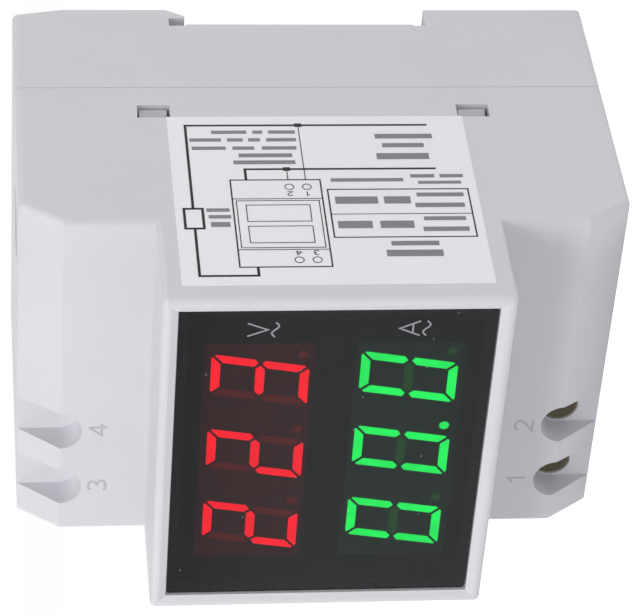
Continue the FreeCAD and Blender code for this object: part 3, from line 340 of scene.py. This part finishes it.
def zinc_plate():
    """Bright zinc plate over turned steel: a cool grey metal with fine rings from the tool."""
    # The tool's rings are 0.1 mm apart, too fine to show, so they are drawn 0.3 mm apart.
    return grained("zinc_plated_steel", linear("#B9BDC2"), spread=0.08, patch_mm=1.2, rough=(0.26, 0.42),
                   grain_mm=0.9, depth_mm=0.01, stretch=(1, 3, 1), Metallic=1.0)


def tinned_brass():
    """Hot-tinned brass strip: soft white metal with slow pools of thicker tin."""
    return grained("tinned_brass", linear("#C9C7BE"), spread=0.06, patch_mm=2.5, rough=(0.22, 0.38),
                   grain_mm=0.8, depth_mm=0.015, Metallic=1.0)


def spring_wire():
    """Drawn music wire: dark bright steel with die lines."""
    # Die lines are about 0.02 mm apart, too fine to show, so they are drawn at 0.2 mm.
    return grained("drawn_music_wire", linear("#8E9196"), spread=0.1, patch_mm=1.0, rough=(0.2, 0.34),
                   grain_mm=0.2, depth_mm=0.004, Metallic=1.0)


def extruded_tube(shade):
    """Tube extruded in rigid vinyl: pale, satin, with drawn lines along its length."""
    # The lines are about 0.1 mm apart, too fine to show, so they are drawn 0.3 mm apart.
    return grained("extruded_rigid_vinyl", shade, spread=0.06, patch_mm=6, rough=(0.38, 0.5),
                   grain_mm=0.9, depth_mm=0.01, stretch=(3, 3, 0.15))


def dipped_coat(name, hex_text):
    """Epoxy or cement dipped over a component: a thick glossy skin with dimples about 1 mm apart."""
    return grained(name, linear(hex_text), spread=0.07, patch_mm=2, rough=(0.2, 0.36),
                   grain_mm=1.1, depth_mm=0.06)


def chip_epoxy():
    """Transfer-moulded epoxy round a chip: matt black with a sandy grain."""
    # The filler's grain of 0.05 mm is too fine to show, so it is drawn at 0.25 mm.
    return grained("moulded_chip_epoxy", linear("#232427"), spread=0.1, patch_mm=1.5, rough=(0.5, 0.66),
                   grain_mm=0.25, depth_mm=0.012)


def moulded_case(name, shade):
    """Moulded case or shrunk sleeve of a component: even colour with a light satin grain."""
    # The grain of about 0.1 mm is too fine to show, so it is drawn at 0.25 mm.
    return grained(name, shade, spread=0.04, patch_mm=3, rough=(0.32, 0.46), grain_mm=0.25, depth_mm=0.01)


def dress(material, *nodes):
    """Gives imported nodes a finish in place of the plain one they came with."""
    for name in nodes:
        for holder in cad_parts[name].material_slots:
            holder.material = material


def plane(origin, right, up):
    """A matrix from flat drawing places, in metres, to the object: x to the right, y up, z outwards."""
    right, up = Vector(right), Vector(up)
    columns = Matrix((right, up, right.cross(up))).transposed().to_4x4()
    return Matrix.Translation(origin) @ columns


def front_plane(y, x=0, z=0):
    """The drawing plane of a face that looks to the front."""
    return plane((x, y, z), (1, 0, 0), (0, 0, 1))


def add_prism(mesh, outline, low, high, place):
    """Adds a closed flat shape with the given outline between two heights."""
    rings = [[mesh.verts.new(place @ Vector((u, v, height))) for u, v in outline] for height in (low, high)]
    mesh.faces.new(reversed(rings[0]))
    mesh.faces.new(rings[1])
    for i in range(len(outline)):
        j = (i + 1) % len(outline)
        mesh.faces.new((rings[0][i], rings[0][j], rings[1][j], rings[1][i]))


def add_line(mesh, points, width, low, high, place, closed=False):
    """Adds a drawn line with mitred corners as a closed strip between two heights."""
    points = [Vector(point) for point in points]
    count = len(points)
    edges = []
    for i, point in enumerate(points):
        before = points[i - 1] if closed or i > 0 else None
        after = points[(i + 1) % count] if closed or i < count - 1 else None
        come = (point - before).normalized() if before is not None else (after - point).normalized()
        go = (after - point).normalized() if after is not None else come
        side = Vector((-come.y - go.y, come.x + go.x)).normalized()
        # A sharp corner's mitre is cut off at 2.5 times the half width.
        reach = width / 2 / max(0.4, side.dot(Vector((-go.y, go.x))))
        edges.append((point - side * reach, point + side * reach))
    rings = []
    for first, second in edges:
        corners = ((*first, low), (*second, low), (*second, high), (*first, high))
        rings.append([mesh.verts.new(place @ Vector(corner)) for corner in corners])
    for i in range(count if closed else count - 1):
        one, two = rings[i], rings[(i + 1) % count]
        for k in range(4):
            mesh.faces.new((one[k], one[(k + 1) % 4], two[(k + 1) % 4], two[k]))
    if not closed:
        mesh.faces.new(reversed(rings[0]))
        mesh.faces.new(rings[-1])


def arc(centre, radii, start, end, steps=14):
    """Points along an ellipse's arc, angles in degrees."""
    angles = [math.radians(start + (end - start) * i / steps) for i in range(steps + 1)]
    return [(centre[0] + radii[0] * math.cos(a), centre[1] + radii[1] * math.sin(a)) for a in angles]


def circle(centre, radius, steps):
    """Points round a circle, without the first one again at the end."""
    return arc(centre, (radius, radius), 0, 360, steps)[:-1]


def bar_outline(start, end, middle, height):
    """Outline of a plain bar in metres, from its ends, middle height and thickness in millimetres."""
    low, high = middle - height / 2, middle + height / 2
    return [(u * MM, v * MM) for u, v in ((start, low), (end, low), (end, high), (start, high))]


def inset(outline, distance):
    """Draws a convex outline, given anticlockwise, in by a distance."""
    points = [Vector(point) for point in outline]
    moved = []
    for i, point in enumerate(points):
        come = (point - points[i - 1]).normalized()
        go = (points[(i + 1) % len(points)] - point).normalized()
        inward_a, inward_b = Vector((-come.y, come.x)), Vector((-go.y, go.x))
        lean = (inward_a + inward_b) / (1 + inward_a.dot(inward_b))
        moved.append(tuple(point + lean * distance))
    return moved


# Strokes of the plain numerals and unit marks, one unit high with the foot at zero.
GLYPHS = {
    "1": [[(-0.25, 0.74), (0.07, 1.0), (0.07, 0.0)]],
    "2": [arc((0, 0.71), (0.36, 0.29), 165, -38) + [(-0.39, 0.0), (0.4, 0.0)]],
    "3": [arc((-0.03, 0.75), (0.33, 0.25), 155, -90), arc((-0.03, 0.25), (0.39, 0.25), 90, -155)],
    "4": [[(0.18, 0.0), (0.18, 1.0)], [(0.18, 1.0), (-0.42, 0.3), (0.44, 0.3)]],
    "V": [[(-0.41, 1.0), (0.0, 0.0), (0.41, 1.0)]],
    "A": [[(-0.46, 0.0), (0.0, 1.0), (0.46, 0.0)], [(-0.3, 0.35), (0.3, 0.35)]],
    "~": [[(-0.46 + 0.92 * i / 16, 0.5 + 0.17 * math.sin(math.tau * i / 16)) for i in range(17)]],
}


def add_glyph(mesh, mark, centre, height, stroke, rise, place):
    """Draws one numeral or unit mark about its centre, each stroke a little above the one before."""
    for index, line in enumerate(GLYPHS[mark]):
        points = [(centre[0] + u * height, centre[1] + (v - 0.5) * height) for u, v in line]
        add_line(mesh, points, stroke, -rise, rise * (1 + index / 4), place)


def print_marks(name, marks, height, stroke, rise, place, ink):
    """Prints numerals or unit marks on the case, each given with its centre in millimetres."""
    mesh = bmesh.new()
    for mark, across, up in marks:
        add_glyph(mesh, mark, (across * MM, up * MM), height, stroke, rise, place)
    finish_piece(name, mesh, ink, "case")


def finish_piece(name, mesh, material, body, smooth=False):
    """Turns a built mesh into a piece that rides on a body and takes its finish from a slot."""
    bmesh.ops.recalc_face_normals(mesh, faces=mesh.faces)
    data = bpy.data.meshes.new(name)
    mesh.to_mesh(data)
    mesh.free()
    data.polygons.foreach_set("use_smooth", [smooth] * len(data.polygons))
    data.materials.append(material)
    piece = bpy.data.objects.new(name, data)
    bpy.context.scene.collection.objects.link(piece)
    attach(piece, body)
    return piece


class METER_OT_case(bpy.types.Operator):
    """Finish the two moulded case halves and add the terminal numerals"""

    bl_idname = "meter.case"
    bl_label = "Case"
    bl_options = {"REGISTER", "UNDO"}

    # Each numeral and its centre on the shoulders, in millimetres across and up.
    NUMERALS = (("1", -18.8, -29.0), ("2", -8.9, -29.0), ("3", -18.8, 29.2), ("4", -8.6, 29.2))

    def execute(self, context):
        sizes, colours = context.scene.meter_sizes, context.scene.meter_colours
        dress(moulded_polycarbonate(colours.case),
              "front_cover", "lower_shoulder", "upper_shoulder", "rear_base")
        ink = printed_ink("pad_printed_grey_ink", colours.numeral, rough=(0.4, 0.5))
        print_marks("terminal_numerals", self.NUMERALS, sizes.numeral_height, sizes.numeral_stroke,
                    sizes.print_rise, front_plane(SHOULDER_FACE), ink)
        return {"FINISHED"}


class METER_OT_window(bpy.types.Operator):
    """Finish the smoked window and print the unit marks on it"""

    bl_idname = "meter.window"
    bl_label = "Window"
    bl_options = {"REGISTER", "UNDO"}

    see_through: FloatProperty(name="See-through", description="Share of light through each face",
                               default=0.2, min=0, max=1)

    # Each unit mark and its centre on the window, in millimetres across and up.
    UNIT_MARKS = (("V", 21.55, 10.3), ("~", 21.55, 8.05), ("A", 21.55, -9.1), ("~", 21.55, -11.25))

    def execute(self, context):
        sizes, colours = context.scene.meter_sizes, context.scene.meter_colours
        dress(smoked_acrylic(colours.window, self.see_through), "display_window")
        ink = printed_ink("screen_printed_grey_ink", linear("#94969B"))
        print_marks("unit_marks", self.UNIT_MARKS, sizes.mark_height, sizes.mark_stroke,
                    sizes.print_rise, front_plane(WINDOW_FACE), ink)
        return {"FINISHED"}


class METER_OT_displays(bpy.types.Operator):
    """Finish the two display housings and light their digits"""

    bl_idname = "meter.displays"
    bl_label = "Displays"
    bl_options = {"REGISTER", "UNDO"}

    top_row: StringProperty(name="Upper row", description="Digits of the upper row", default="223")
    bottom_row: StringProperty(name="Lower row", description="Digits of the lower row", default="00.0")

    # Bars that each figure lights: a at the top, b to f clockwise from it and g in the middle.
    LIT = {"0": "abcdef", "1": "bc", "2": "abged", "3": "abgcd", "4": "fgbc", "5": "afgcd",
           "6": "afgedc", "7": "abc", "8": "abcdefg", "9": "abcdfg"}
    # Middle of each row, in millimetres across and up.
    MIDDLES = {"red": (-0.16, 9.57), "green": (0.12, -9.66)}
    # How strongly lit bars, unlit bars and the housing round them glow behind the window. The glow of the
    # unlit bars and the housing is painted light, standing in for light scattered from the lit bars.
    LIT_LEVEL = 24.0
    UNLIT_LEVELS = {"red": 1.6, "green": 1.2}
    HAZE_LEVELS = {"red": 0.42, "green": 0.32}

    def execute(self, context):
        sizes, colours = context.scene.meter_sizes, context.scene.meter_colours
        rows = (("red", self.top_row, colours.red, colours.red),
                ("green", self.bottom_row, colours.green, colours.green_haze))
        for name, text, shade, haze in rows:
            housing = display_housing(f"{name}_tinted_housing", haze, self.HAZE_LEVELS[name])
            dress(housing, f"{name}_display")
            self.light_row(sizes, name, text, shade)
        return {"FINISHED"}

    def light_row(self, sizes, name, text, shade):
        """Splits a row's bars and points into a lit piece and an unlit one."""
        place = front_plane(DISPLAY_FACE)
        low, high = -sizes.print_rise, sizes.segment_rise
        across, up = (offset * MM for offset in self.MIDDLES[name])
        lit, dark = bmesh.new(), bmesh.new()
        digits = [mark for mark in text if mark != "."]
        pointed = [text[i + 1:i + 2] == "." for i, mark in enumerate(text) if mark != "."]
        for index, (digit, point) in enumerate(zip(digits, pointed)):
            centre = (index - (len(digits) - 1) / 2) * sizes.digit_pitch + across
            for bar, outline in self.bars(sizes).items():
                leaning = [(centre + u + v * math.tan(sizes.digit_lean), up + v) for u, v in outline]
                add_prism(lit if bar in self.LIT[digit] else dark, leaning, low, high, place)
            dot = circle((centre + sizes.point_offset, up - sizes.point_drop), sizes.point_radius, 24)
            add_prism(lit if point else dark, dot, low, high, place)
        # The unlit bars glow weakly too: painted light that stands in for light leaking from the lit bars.
        for mesh, state, level in ((lit, "lit", self.LIT_LEVEL), (dark, "unlit", self.UNLIT_LEVELS[name])):
            epoxy = lit_epoxy(f"{name}_{state}_epoxy", shade, level)
            finish_piece(f"{name}_{state}_bars", mesh, epoxy, "case")

    def bars(self, sizes):
        """Outlines of the seven bars about the digit's centre, each drawn in from its neighbours."""
        wide, tall, bar = sizes.digit_width / 2, sizes.digit_height / 2, sizes.segment_width
        cut = sizes.corner_cut
        top = [(-wide + cut, tall), (-wide + cut / 2, tall - cut / 2), (-wide + bar, tall - bar),
               (wide - bar, tall - bar), (wide - cut / 2, tall - cut / 2), (wide - cut, tall)]
        right = [(wide, tall - cut), (wide - cut / 2, tall - cut / 2), (wide - bar, tall - bar),
                 (wide - bar, bar / 2), (wide - bar / 2, 0), (wide, sizes.joint_cut)]
        middle = [(-wide + bar / 2, 0), (-wide + bar, -bar / 2), (wide - bar, -bar / 2),
                  (wide - bar / 2, 0), (wide - bar, bar / 2), (-wide + bar, bar / 2)]
        outlines = {"a": top, "b": right, "g": middle}
        outlines["d"] = [(u, -v) for u, v in reversed(top)]
        outlines["c"] = [(u, -v) for u, v in reversed(right)]
        outlines["f"] = [(-u, v) for u, v in reversed(right)]
        outlines["e"] = [(-u, -v) for u, v in right]
        return {name: inset(outline, sizes.segment_gap / 2) for name, outline in outlines.items()}


# The label's drawing in millimetres, seen upright: right is the part's +Z and up is its front.
SUPPLY_LINES = [
    [(-14.9, 23.6), (17.6, 23.6), (17.6, 41.5)],
    [(17.6, 45.6), (17.6, 55.2), (10.1, 55.2), (10.1, 53.5)],
    [(-15.0, 33.2), (10.3, 33.2), (10.3, 35.5)],
]
LOAD_BOX = [(16.4, 41.5), (18.8, 41.5), (18.8, 45.6), (16.4, 45.6)]
OUTLINES = [
    [(0.6, 35.5), (12.4, 35.5), (12.4, 53.5), (0.6, 53.5)],
    [(-18.7, 37.6), (-0.2, 37.6), (-0.2, 47.6), (-18.7, 47.6)],
]
FINE_BOXES = [
    [(1.1, 39.9), (11.9, 39.9), (11.9, 49.6), (1.1, 49.6)],
    [(2.4, 40.8), (10.7, 40.8), (10.7, 44.2), (2.4, 44.2)],
    [(2.4, 45.2), (10.7, 45.2), (10.7, 48.6), (2.4, 48.6)],
]
FINE_LINES = [
    [(2.5, 23.6), (2.5, 35.5)],
    [(4.8, 33.2), (4.8, 35.5)],
    [(0.6, 39.5), (12.4, 39.5)],
    [(0.6, 50.0), (12.4, 50.0)],
    [(-18.7, 42.8), (-0.2, 42.8)],
]
# Square dots where two lines join: their middles, width and height.
DOTS = [(2.5, 23.6), (4.8, 33.2)]
DOT_WIDTH, DOT_HEIGHT = 0.95, 0.75
# Numbered rings of the terminals: the numeral, the ring's middle and the numeral's height on the label.
RINGS = [
    ("2", 4.75, 37.0, 38.45),
    ("1", 2.45, 37.0, 38.45),
    ("4", 4.7, 52.1, 50.7),
    ("3", 2.4, 52.1, 50.7),
]
RING_RADIUS = 0.58
RING_NUMERAL = 0.85
# Plain bars where the real label has words: each row's middle height, thickness and ends.
WORD_BARS = [
    (25.1, 0.7, [(3.0, 6.6), (7.4, 8.7), (9.5, 14.2)]),
    (26.8, 0.7, [(3.0, 7.0), (7.8, 9.4), (10.1, 12.2), (13.0, 17.2)]),
    (28.6, 0.7, [(3.1, 7.7), (8.7, 11.6), (12.5, 17.0)]),
    (30.2, 0.8, [(3.8, 10.9)]),
    (31.7, 0.8, [(3.5, 11.7)]),
    (26.1, 1.0, [(-15.3, -7.6)]),
    (28.1, 0.9, [(-14.0, -8.4)]),
    (30.5, 1.3, [(-14.4, -7.4)]),
    (34.8, 0.7, [(-18.4, -15.3), (-14.6, -11.4)]),
    (36.2, 0.6, [(-18.0, -12.3)]),
    (35.6, 0.7, [(-10.4, -0.8)]),
    (38.8, 0.8, [(-18.0, -11.8)]),
    (41.0, 0.9, [(-17.9, -11.4)]),
    (39.9, 1.5, [(-10.9, -7.4), (-6.6, -1.0)]),
    (43.8, 0.8, [(-17.7, -12.2)]),
    (46.0, 0.9, [(-17.9, -11.9)]),
    (45.0, 1.5, [(-10.8, -6.4), (-5.4, -0.9)]),
    (48.9, 0.9, [(-13.6, -7.4)]),
    (50.9, 1.3, [(-13.9, -6.6)]),
    (41.8, 0.7, [(12.9, 15.9)]),
    (43.2, 0.7, [(12.8, 15.7)]),
    (44.8, 1.0, [(13.0, 15.5)]),
]


class METER_OT_label(bpy.types.Operator):
    """Finish the side label and print its wiring sketch and word bars"""

    bl_idname = "meter.label"
    bl_label = "Label"
    bl_options = {"REGISTER", "UNDO"}

    def execute(self, context):
        sizes, colours = context.scene.meter_sizes, context.scene.meter_colours
        dress(printed_film(colours.label), "side_label")
        place = plane((LABEL_FACE, 0, 0), (0, 0, 1), (0, -1, 0))
        black = printed_ink("screen_printed_black_ink", colours.ink, spread=0.05, patch_mm=2,
                            **{"Specular IOR Level": 0.2})
        finish_piece("label_drawing", self.sketch(sizes, place), black, "case")
        mesh = bmesh.new()
        for middle, height, ends in WORD_BARS:
            for start, end in ends:
                outline = bar_outline(start, end, middle, height)
                add_prism(mesh, outline, -sizes.print_rise, sizes.print_rise, place)
        grey = printed_ink("screen_printed_grey_bars", colours.grey_ink, spread=0.05, patch_mm=0.4)
        finish_piece("label_word_bars", mesh, grey, "case")
        return {"FINISHED"}

    def sketch(self, sizes, place):
        """The wiring sketch: lines, boxes, joining dots and the numbered rings of the terminals."""
        low, high = -sizes.print_rise, sizes.print_rise
        mesh = bmesh.new()
        drawings = ((SUPPLY_LINES, sizes.heavy_line, False), ([LOAD_BOX], sizes.heavy_line, True),
                    (OUTLINES, sizes.medium_line, True), (FINE_BOXES, sizes.fine_line, True),
                    (FINE_LINES, sizes.fine_line, False))
        for lines, width, closed in drawings:
            for line in lines:
                add_line(mesh, [(u * MM, v * MM) for u, v in line], width, low, high, place, closed)
        for u, v in DOTS:
            outline = bar_outline(u - DOT_WIDTH / 2, u + DOT_WIDTH / 2, v, DOT_HEIGHT)
            add_prism(mesh, outline, low, high * 1.5, place)
        for mark, u, v, numeral_v in RINGS:
            ring = circle((u * MM, v * MM), RING_RADIUS * MM, 20)
            add_line(mesh, ring, sizes.fine_line, low, high, place, closed=True)
            add_glyph(mesh, mark, (u * MM, numeral_v * MM), RING_NUMERAL * MM, sizes.fine_line,
                      sizes.print_rise, place)
        return mesh


class METER_OT_latch(bpy.types.Operator):
    """Finish the rail latch and wind its spring"""

    bl_idname = "meter.latch"
    bl_label = "Latch"
    bl_options = {"REGISTER", "UNDO"}

    # Closed turns at each end of the spring, and their pitch in thicknesses of the wire.
    CLOSED_TURNS = 1.0
    CLOSED_PITCH = 1.05
    STEPS_PER_TURN = 32
    WIRE_SIDES = 10

    def execute(self, context):
        sizes, colours = context.scene.meter_sizes, context.scene.meter_colours
        dress(moulded_acetal(colours.latch), "rail_latch")
        coil = finish_piece("latch_coil", self.wind(sizes), spring_wire(), "case",
                            smooth=True)
        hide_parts("latch_spring")
        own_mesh(coil)
        return {"FINISHED"}

    def wind(self, sizes):
        """A round wire wound up the spring's room, with closed turns at both ends."""
        wire = sizes.wire_thickness / 2
        radius = (SPRING_HIGH.x - SPRING_LOW.x) / 2 - wire
        axis = (SPRING_LOW + SPRING_HIGH) / 2
        low, high = SPRING_LOW.z + wire, SPRING_HIGH.z - wire
        closed, open_turns = self.CLOSED_TURNS, sizes.spring_turns
        closed_rise = self.CLOSED_PITCH * sizes.wire_thickness
        open_height = high - low - 2 * closed * closed_rise
        turns = open_turns + 2 * closed
        steps = round(turns * self.STEPS_PER_TURN)
        mesh, rings = bmesh.new(), []
        for i in range(steps + 1):
            turn = turns * i / steps
            closed_part = min(turn, closed) + max(0.0, turn - (turns - closed))
            open_part = min(max(turn - closed, 0.0), open_turns)
            height = low + closed_part * closed_rise + open_part / open_turns * open_height
            out = Vector((math.cos(math.tau * turn), math.sin(math.tau * turn), 0))
            centre = Vector((axis.x, axis.y, height)) + out * radius
            rings.append([mesh.verts.new(centre + out * (wire * u) + Vector((0, 0, wire * v)))
                          for u, v in circle((0, 0), 1.0, self.WIRE_SIDES)])
        for one, two in zip(rings, rings[1:]):
            for k in range(self.WIRE_SIDES):
                j = (k + 1) % self.WIRE_SIDES
                mesh.faces.new((one[k], two[k], two[j], one[j]))
        mesh.faces.new(rings[0])
        mesh.faces.new(reversed(rings[-1]))
        return mesh


class METER_OT_terminals(bpy.types.Operator):
    """Finish the terminal block and its metal parts, and line the screw holes with the block's collars,
    whose dull olive is partly painted shade
    """

    bl_idname = "meter.terminals"
    bl_label = "Terminals"
    bl_options = {"REGISTER", "UNDO"}

    def execute(self, context):
        sizes, colours = context.scene.meter_sizes, context.scene.meter_colours
        polyamide = moulded_case("moulded_polyamide", colours.block)
        dress(polyamide, "terminal_block")
        dress(zinc_plate(), "terminal_screw_1", "terminal_screw_2", "clamp_cage_1", "clamp_cage_2")
        dress(tinned_brass(), "contact_bar_1", "contact_bar_2")
        # The collars darken the screw holes with the block's dull olive: partly painted shade, partly the
        # olive tint of the holes.
        mesh = bmesh.new()
        for name in ("terminal_screw_1", "terminal_screw_2"):
            low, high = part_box(name)
            place = front_plane(BLOCK_FACE, (low.x + high.x) / 2, (low.z + high.z) / 2)
            radius = (high.x - low.x) / 2 + sizes.collar_gap + sizes.collar_wall / 2
            ring = circle((0, 0), radius, 48)
            add_line(mesh, ring, sizes.collar_wall, 0, sizes.collar_height, place, closed=True)
        finish_piece("screw_hole_shade_collars", mesh, polyamide, "case")
        return {"FINISHED"}


class METER_OT_inner_parts(bpy.types.Operator):
    """Finish the circuit boards, the parts on them and the wire passage"""

    bl_idname = "meter.inner_parts"
    bl_label = "Inner parts"
    bl_options = {"REGISTER", "UNDO"}

    def execute(self, context):
        colours = context.scene.meter_colours
        dress(masked_board(colours.board), "main_board", "display_board")
        dress(extruded_tube(colours.tube), "wire_tube")
        dress(wound_tape(colours.tape), "current_transformer")
        dress(chip_epoxy(),
              "microcontroller", "display_driver", "bridge_rectifier", "regulator", "board_header")
        dress(dipped_coat("dipped_blue_epoxy", "#2E6FB5"), "varistor")
        dress(dipped_coat("cement_coated_resistor", "#5F8F7A"), "fuse_resistor")
        dress(moulded_case("moulded_yellow_film_case", linear("#D9B23C")), "film_capacitor")
        dress(moulded_case("shrunk_black_sleeve", linear("#26282E")),
              "filter_capacitor", "output_capacitor")
        dress(moulded_case("moulded_blue_trimmer", linear("#2B63B8")),
              "calibration_trimmer_1", "calibration_trimmer_2")
        return {"FINISHED"}


# Strength of the world's light on the object, and what the floor gives off where it is seen.
SKY_LEVEL = 0.22
FLOOR_LIFT = 0.8
# From the floor's middle to its edge, in metres.
FLOOR_REACH = 3.0
# Each lamp's name, place and width in metres, and power in watts.
LAMPS = (
    ("key", (0.12, -0.6, 0.55), 0.5, 3.65),
    ("front", (0.0, -0.8, 0.24), 0.5, 0.65),
    ("side", (0.68, 0.42, 0.25), 0.6, 2.35),
    ("left", (-0.7, -0.2, 0.26), 0.5, 1.2),
)
# The camera's place in metres, where the picture's right and top point, and the lens in millimetres.
CAMERA_PLACE = (0.28635, -0.37101, 0.04788)
PICTURE_RIGHT = (0.063497, -0.091033, -0.993821)
PICTURE_TOP = (0.767101, 0.641453, -0.009744)
LENS, SENSOR_WIDTH = 183.14, 36


class METER_OT_stage(bpy.types.Operator):
    """Set the pale floor, the soft light and the camera"""

    bl_idname = "meter.stage"
    bl_label = "Stage"
    bl_options = {"REGISTER", "UNDO"}

    def execute(self, context):
        context.scene.view_settings.view_transform = "Standard"
        self.lay_floor(context.scene, CAD_BOX[0][2])
        self.light(context.scene)
        self.aim(context.scene)
        return {"FINISHED"}

    def seen(self, tree):
        """One where a surface is seen by the camera, or in or through something, else zero."""
        path = add_node(tree, "ShaderNodeLightPath")
        direct = add_node(tree, "ShaderNodeMath",
                          {0: path.outputs["Is Camera Ray"], 1: path.outputs["Is Glossy Ray"]},
                          operation="ADD")
        either = add_node(tree, "ShaderNodeMath",
                          {0: direct.outputs[0], 1: path.outputs["Is Transmission Ray"]},
                          operation="ADD", use_clamp=True)
        return either.outputs[0]

    def lay_floor(self, scene, height):
        """A pale floor that keeps the object's shadow and is lifted to white where it is seen."""
        mesh = bmesh.new()
        bmesh.ops.create_grid(mesh, x_segments=1, y_segments=1, size=FLOOR_REACH)
        data = bpy.data.meshes.new("floor")
        mesh.to_mesh(data)
        mesh.free()
        floor = bpy.data.objects.new("floor", data)
        floor.location.z = height
        scene.collection.objects.link(floor)
        material = bpy.data.materials.new("matt_white_paper")
        material.use_nodes = True
        tree = material.node_tree
        tree.nodes.clear()
        paper = add_node(tree, "ShaderNodeBsdfDiffuse", {"Color": linear("#EDEDED")})
        lift = add_node(tree, "ShaderNodeMath", {0: self.seen(tree), 1: FLOOR_LIFT}, operation="MULTIPLY")
        glow = add_node(tree, "ShaderNodeEmission", {"Strength": lift.outputs[0]})
        both = add_node(tree, "ShaderNodeAddShader", {0: paper.outputs[0], 1: glow.outputs[0]})
        add_node(tree, "ShaderNodeOutputMaterial", {"Surface": both.outputs[0]})
        data.materials.append(material)

    def light(self, scene):
        """Weak even light from all round, white where it is seen, and four large soft lamps."""
        world = bpy.data.worlds.new("studio")
        world.use_nodes = True
        tree = world.node_tree
        tree.nodes.clear()
        level = add_node(tree, "ShaderNodeMapRange",
                         {"Value": self.seen(tree), "To Min": SKY_LEVEL, "To Max": 1.0})
        sky = add_node(tree, "ShaderNodeBackground",
                       {"Color": linear("#FFFFFF"), "Strength": level.outputs[0]})
        add_node(tree, "ShaderNodeOutputWorld", {"Surface": sky.outputs[0]})
        scene.world = world
        for name, place, width, power in LAMPS:
            lamp = bpy.data.lights.new(name, "AREA")
            lamp.size = width
            lamp.energy = power
            holder = bpy.data.objects.new(name, lamp)
            holder.location = place
            holder.rotation_euler = (-Vector(place)).to_track_quat("-Z", "Y").to_euler()
            scene.collection.objects.link(holder)

    def aim(self, scene):
        """The camera stands where the photograph was taken from."""
        camera = bpy.data.cameras.new("camera")
        camera.sensor_width = SENSOR_WIDTH
        camera.lens = LENS
        holder = bpy.data.objects.new("camera", camera)
        # A camera looks against its own z, which points out of the drawing plane.
        holder.matrix_world = plane(CAMERA_PLACE, PICTURE_RIGHT, PICTURE_TOP)
        scene.collection.objects.link(holder)
        scene.camera = holder


class METER_PT_panel(bpy.types.Panel):
    """Sidebar panel with the meter's operators, sizes and colours"""

    bl_idname = "METER_PT_panel"
    bl_label = "Rail Meter"
    bl_space_type = "VIEW_3D"
    bl_region_type = "UI"
    bl_category = "Meter"

    def draw(self, context):
        for operator in OPERATORS:
            self.layout.operator(operator.bl_idname)
        for group in (context.scene.meter_sizes, context.scene.meter_colours):
            box = self.layout.box()
            for name in group.__annotations__:
                box.prop(group, name)


OPERATORS = (METER_OT_case, METER_OT_window, METER_OT_displays, METER_OT_label, METER_OT_latch,
             METER_OT_terminals, METER_OT_inner_parts, METER_OT_stage)
CLASSES = (MeterSizes, MeterColours, *OPERATORS, METER_PT_panel)


def register():
    """Adds the classes, and gives the scene its sizes and colours."""
    for item in CLASSES:
        bpy.utils.register_class(item)
    bpy.types.Scene.meter_sizes = PointerProperty(type=MeterSizes)
    bpy.types.Scene.meter_colours = PointerProperty(type=MeterColours)


def unregister():
    """Takes out what register adds."""
    del bpy.types.Scene.meter_colours
    del bpy.types.Scene.meter_sizes
    for item in reversed(CLASSES):
        bpy.utils.unregister_class(item)


def main():
    """Builds every piece and the stage."""
    register()
    bpy.ops.meter.case()
    bpy.ops.meter.window()
    bpy.ops.meter.displays()
    bpy.ops.meter.label()
    bpy.ops.meter.latch()
    bpy.ops.meter.terminals()
    bpy.ops.meter.inner_parts()
    bpy.ops.meter.stage()


if __name__ == "__main__":
    main()
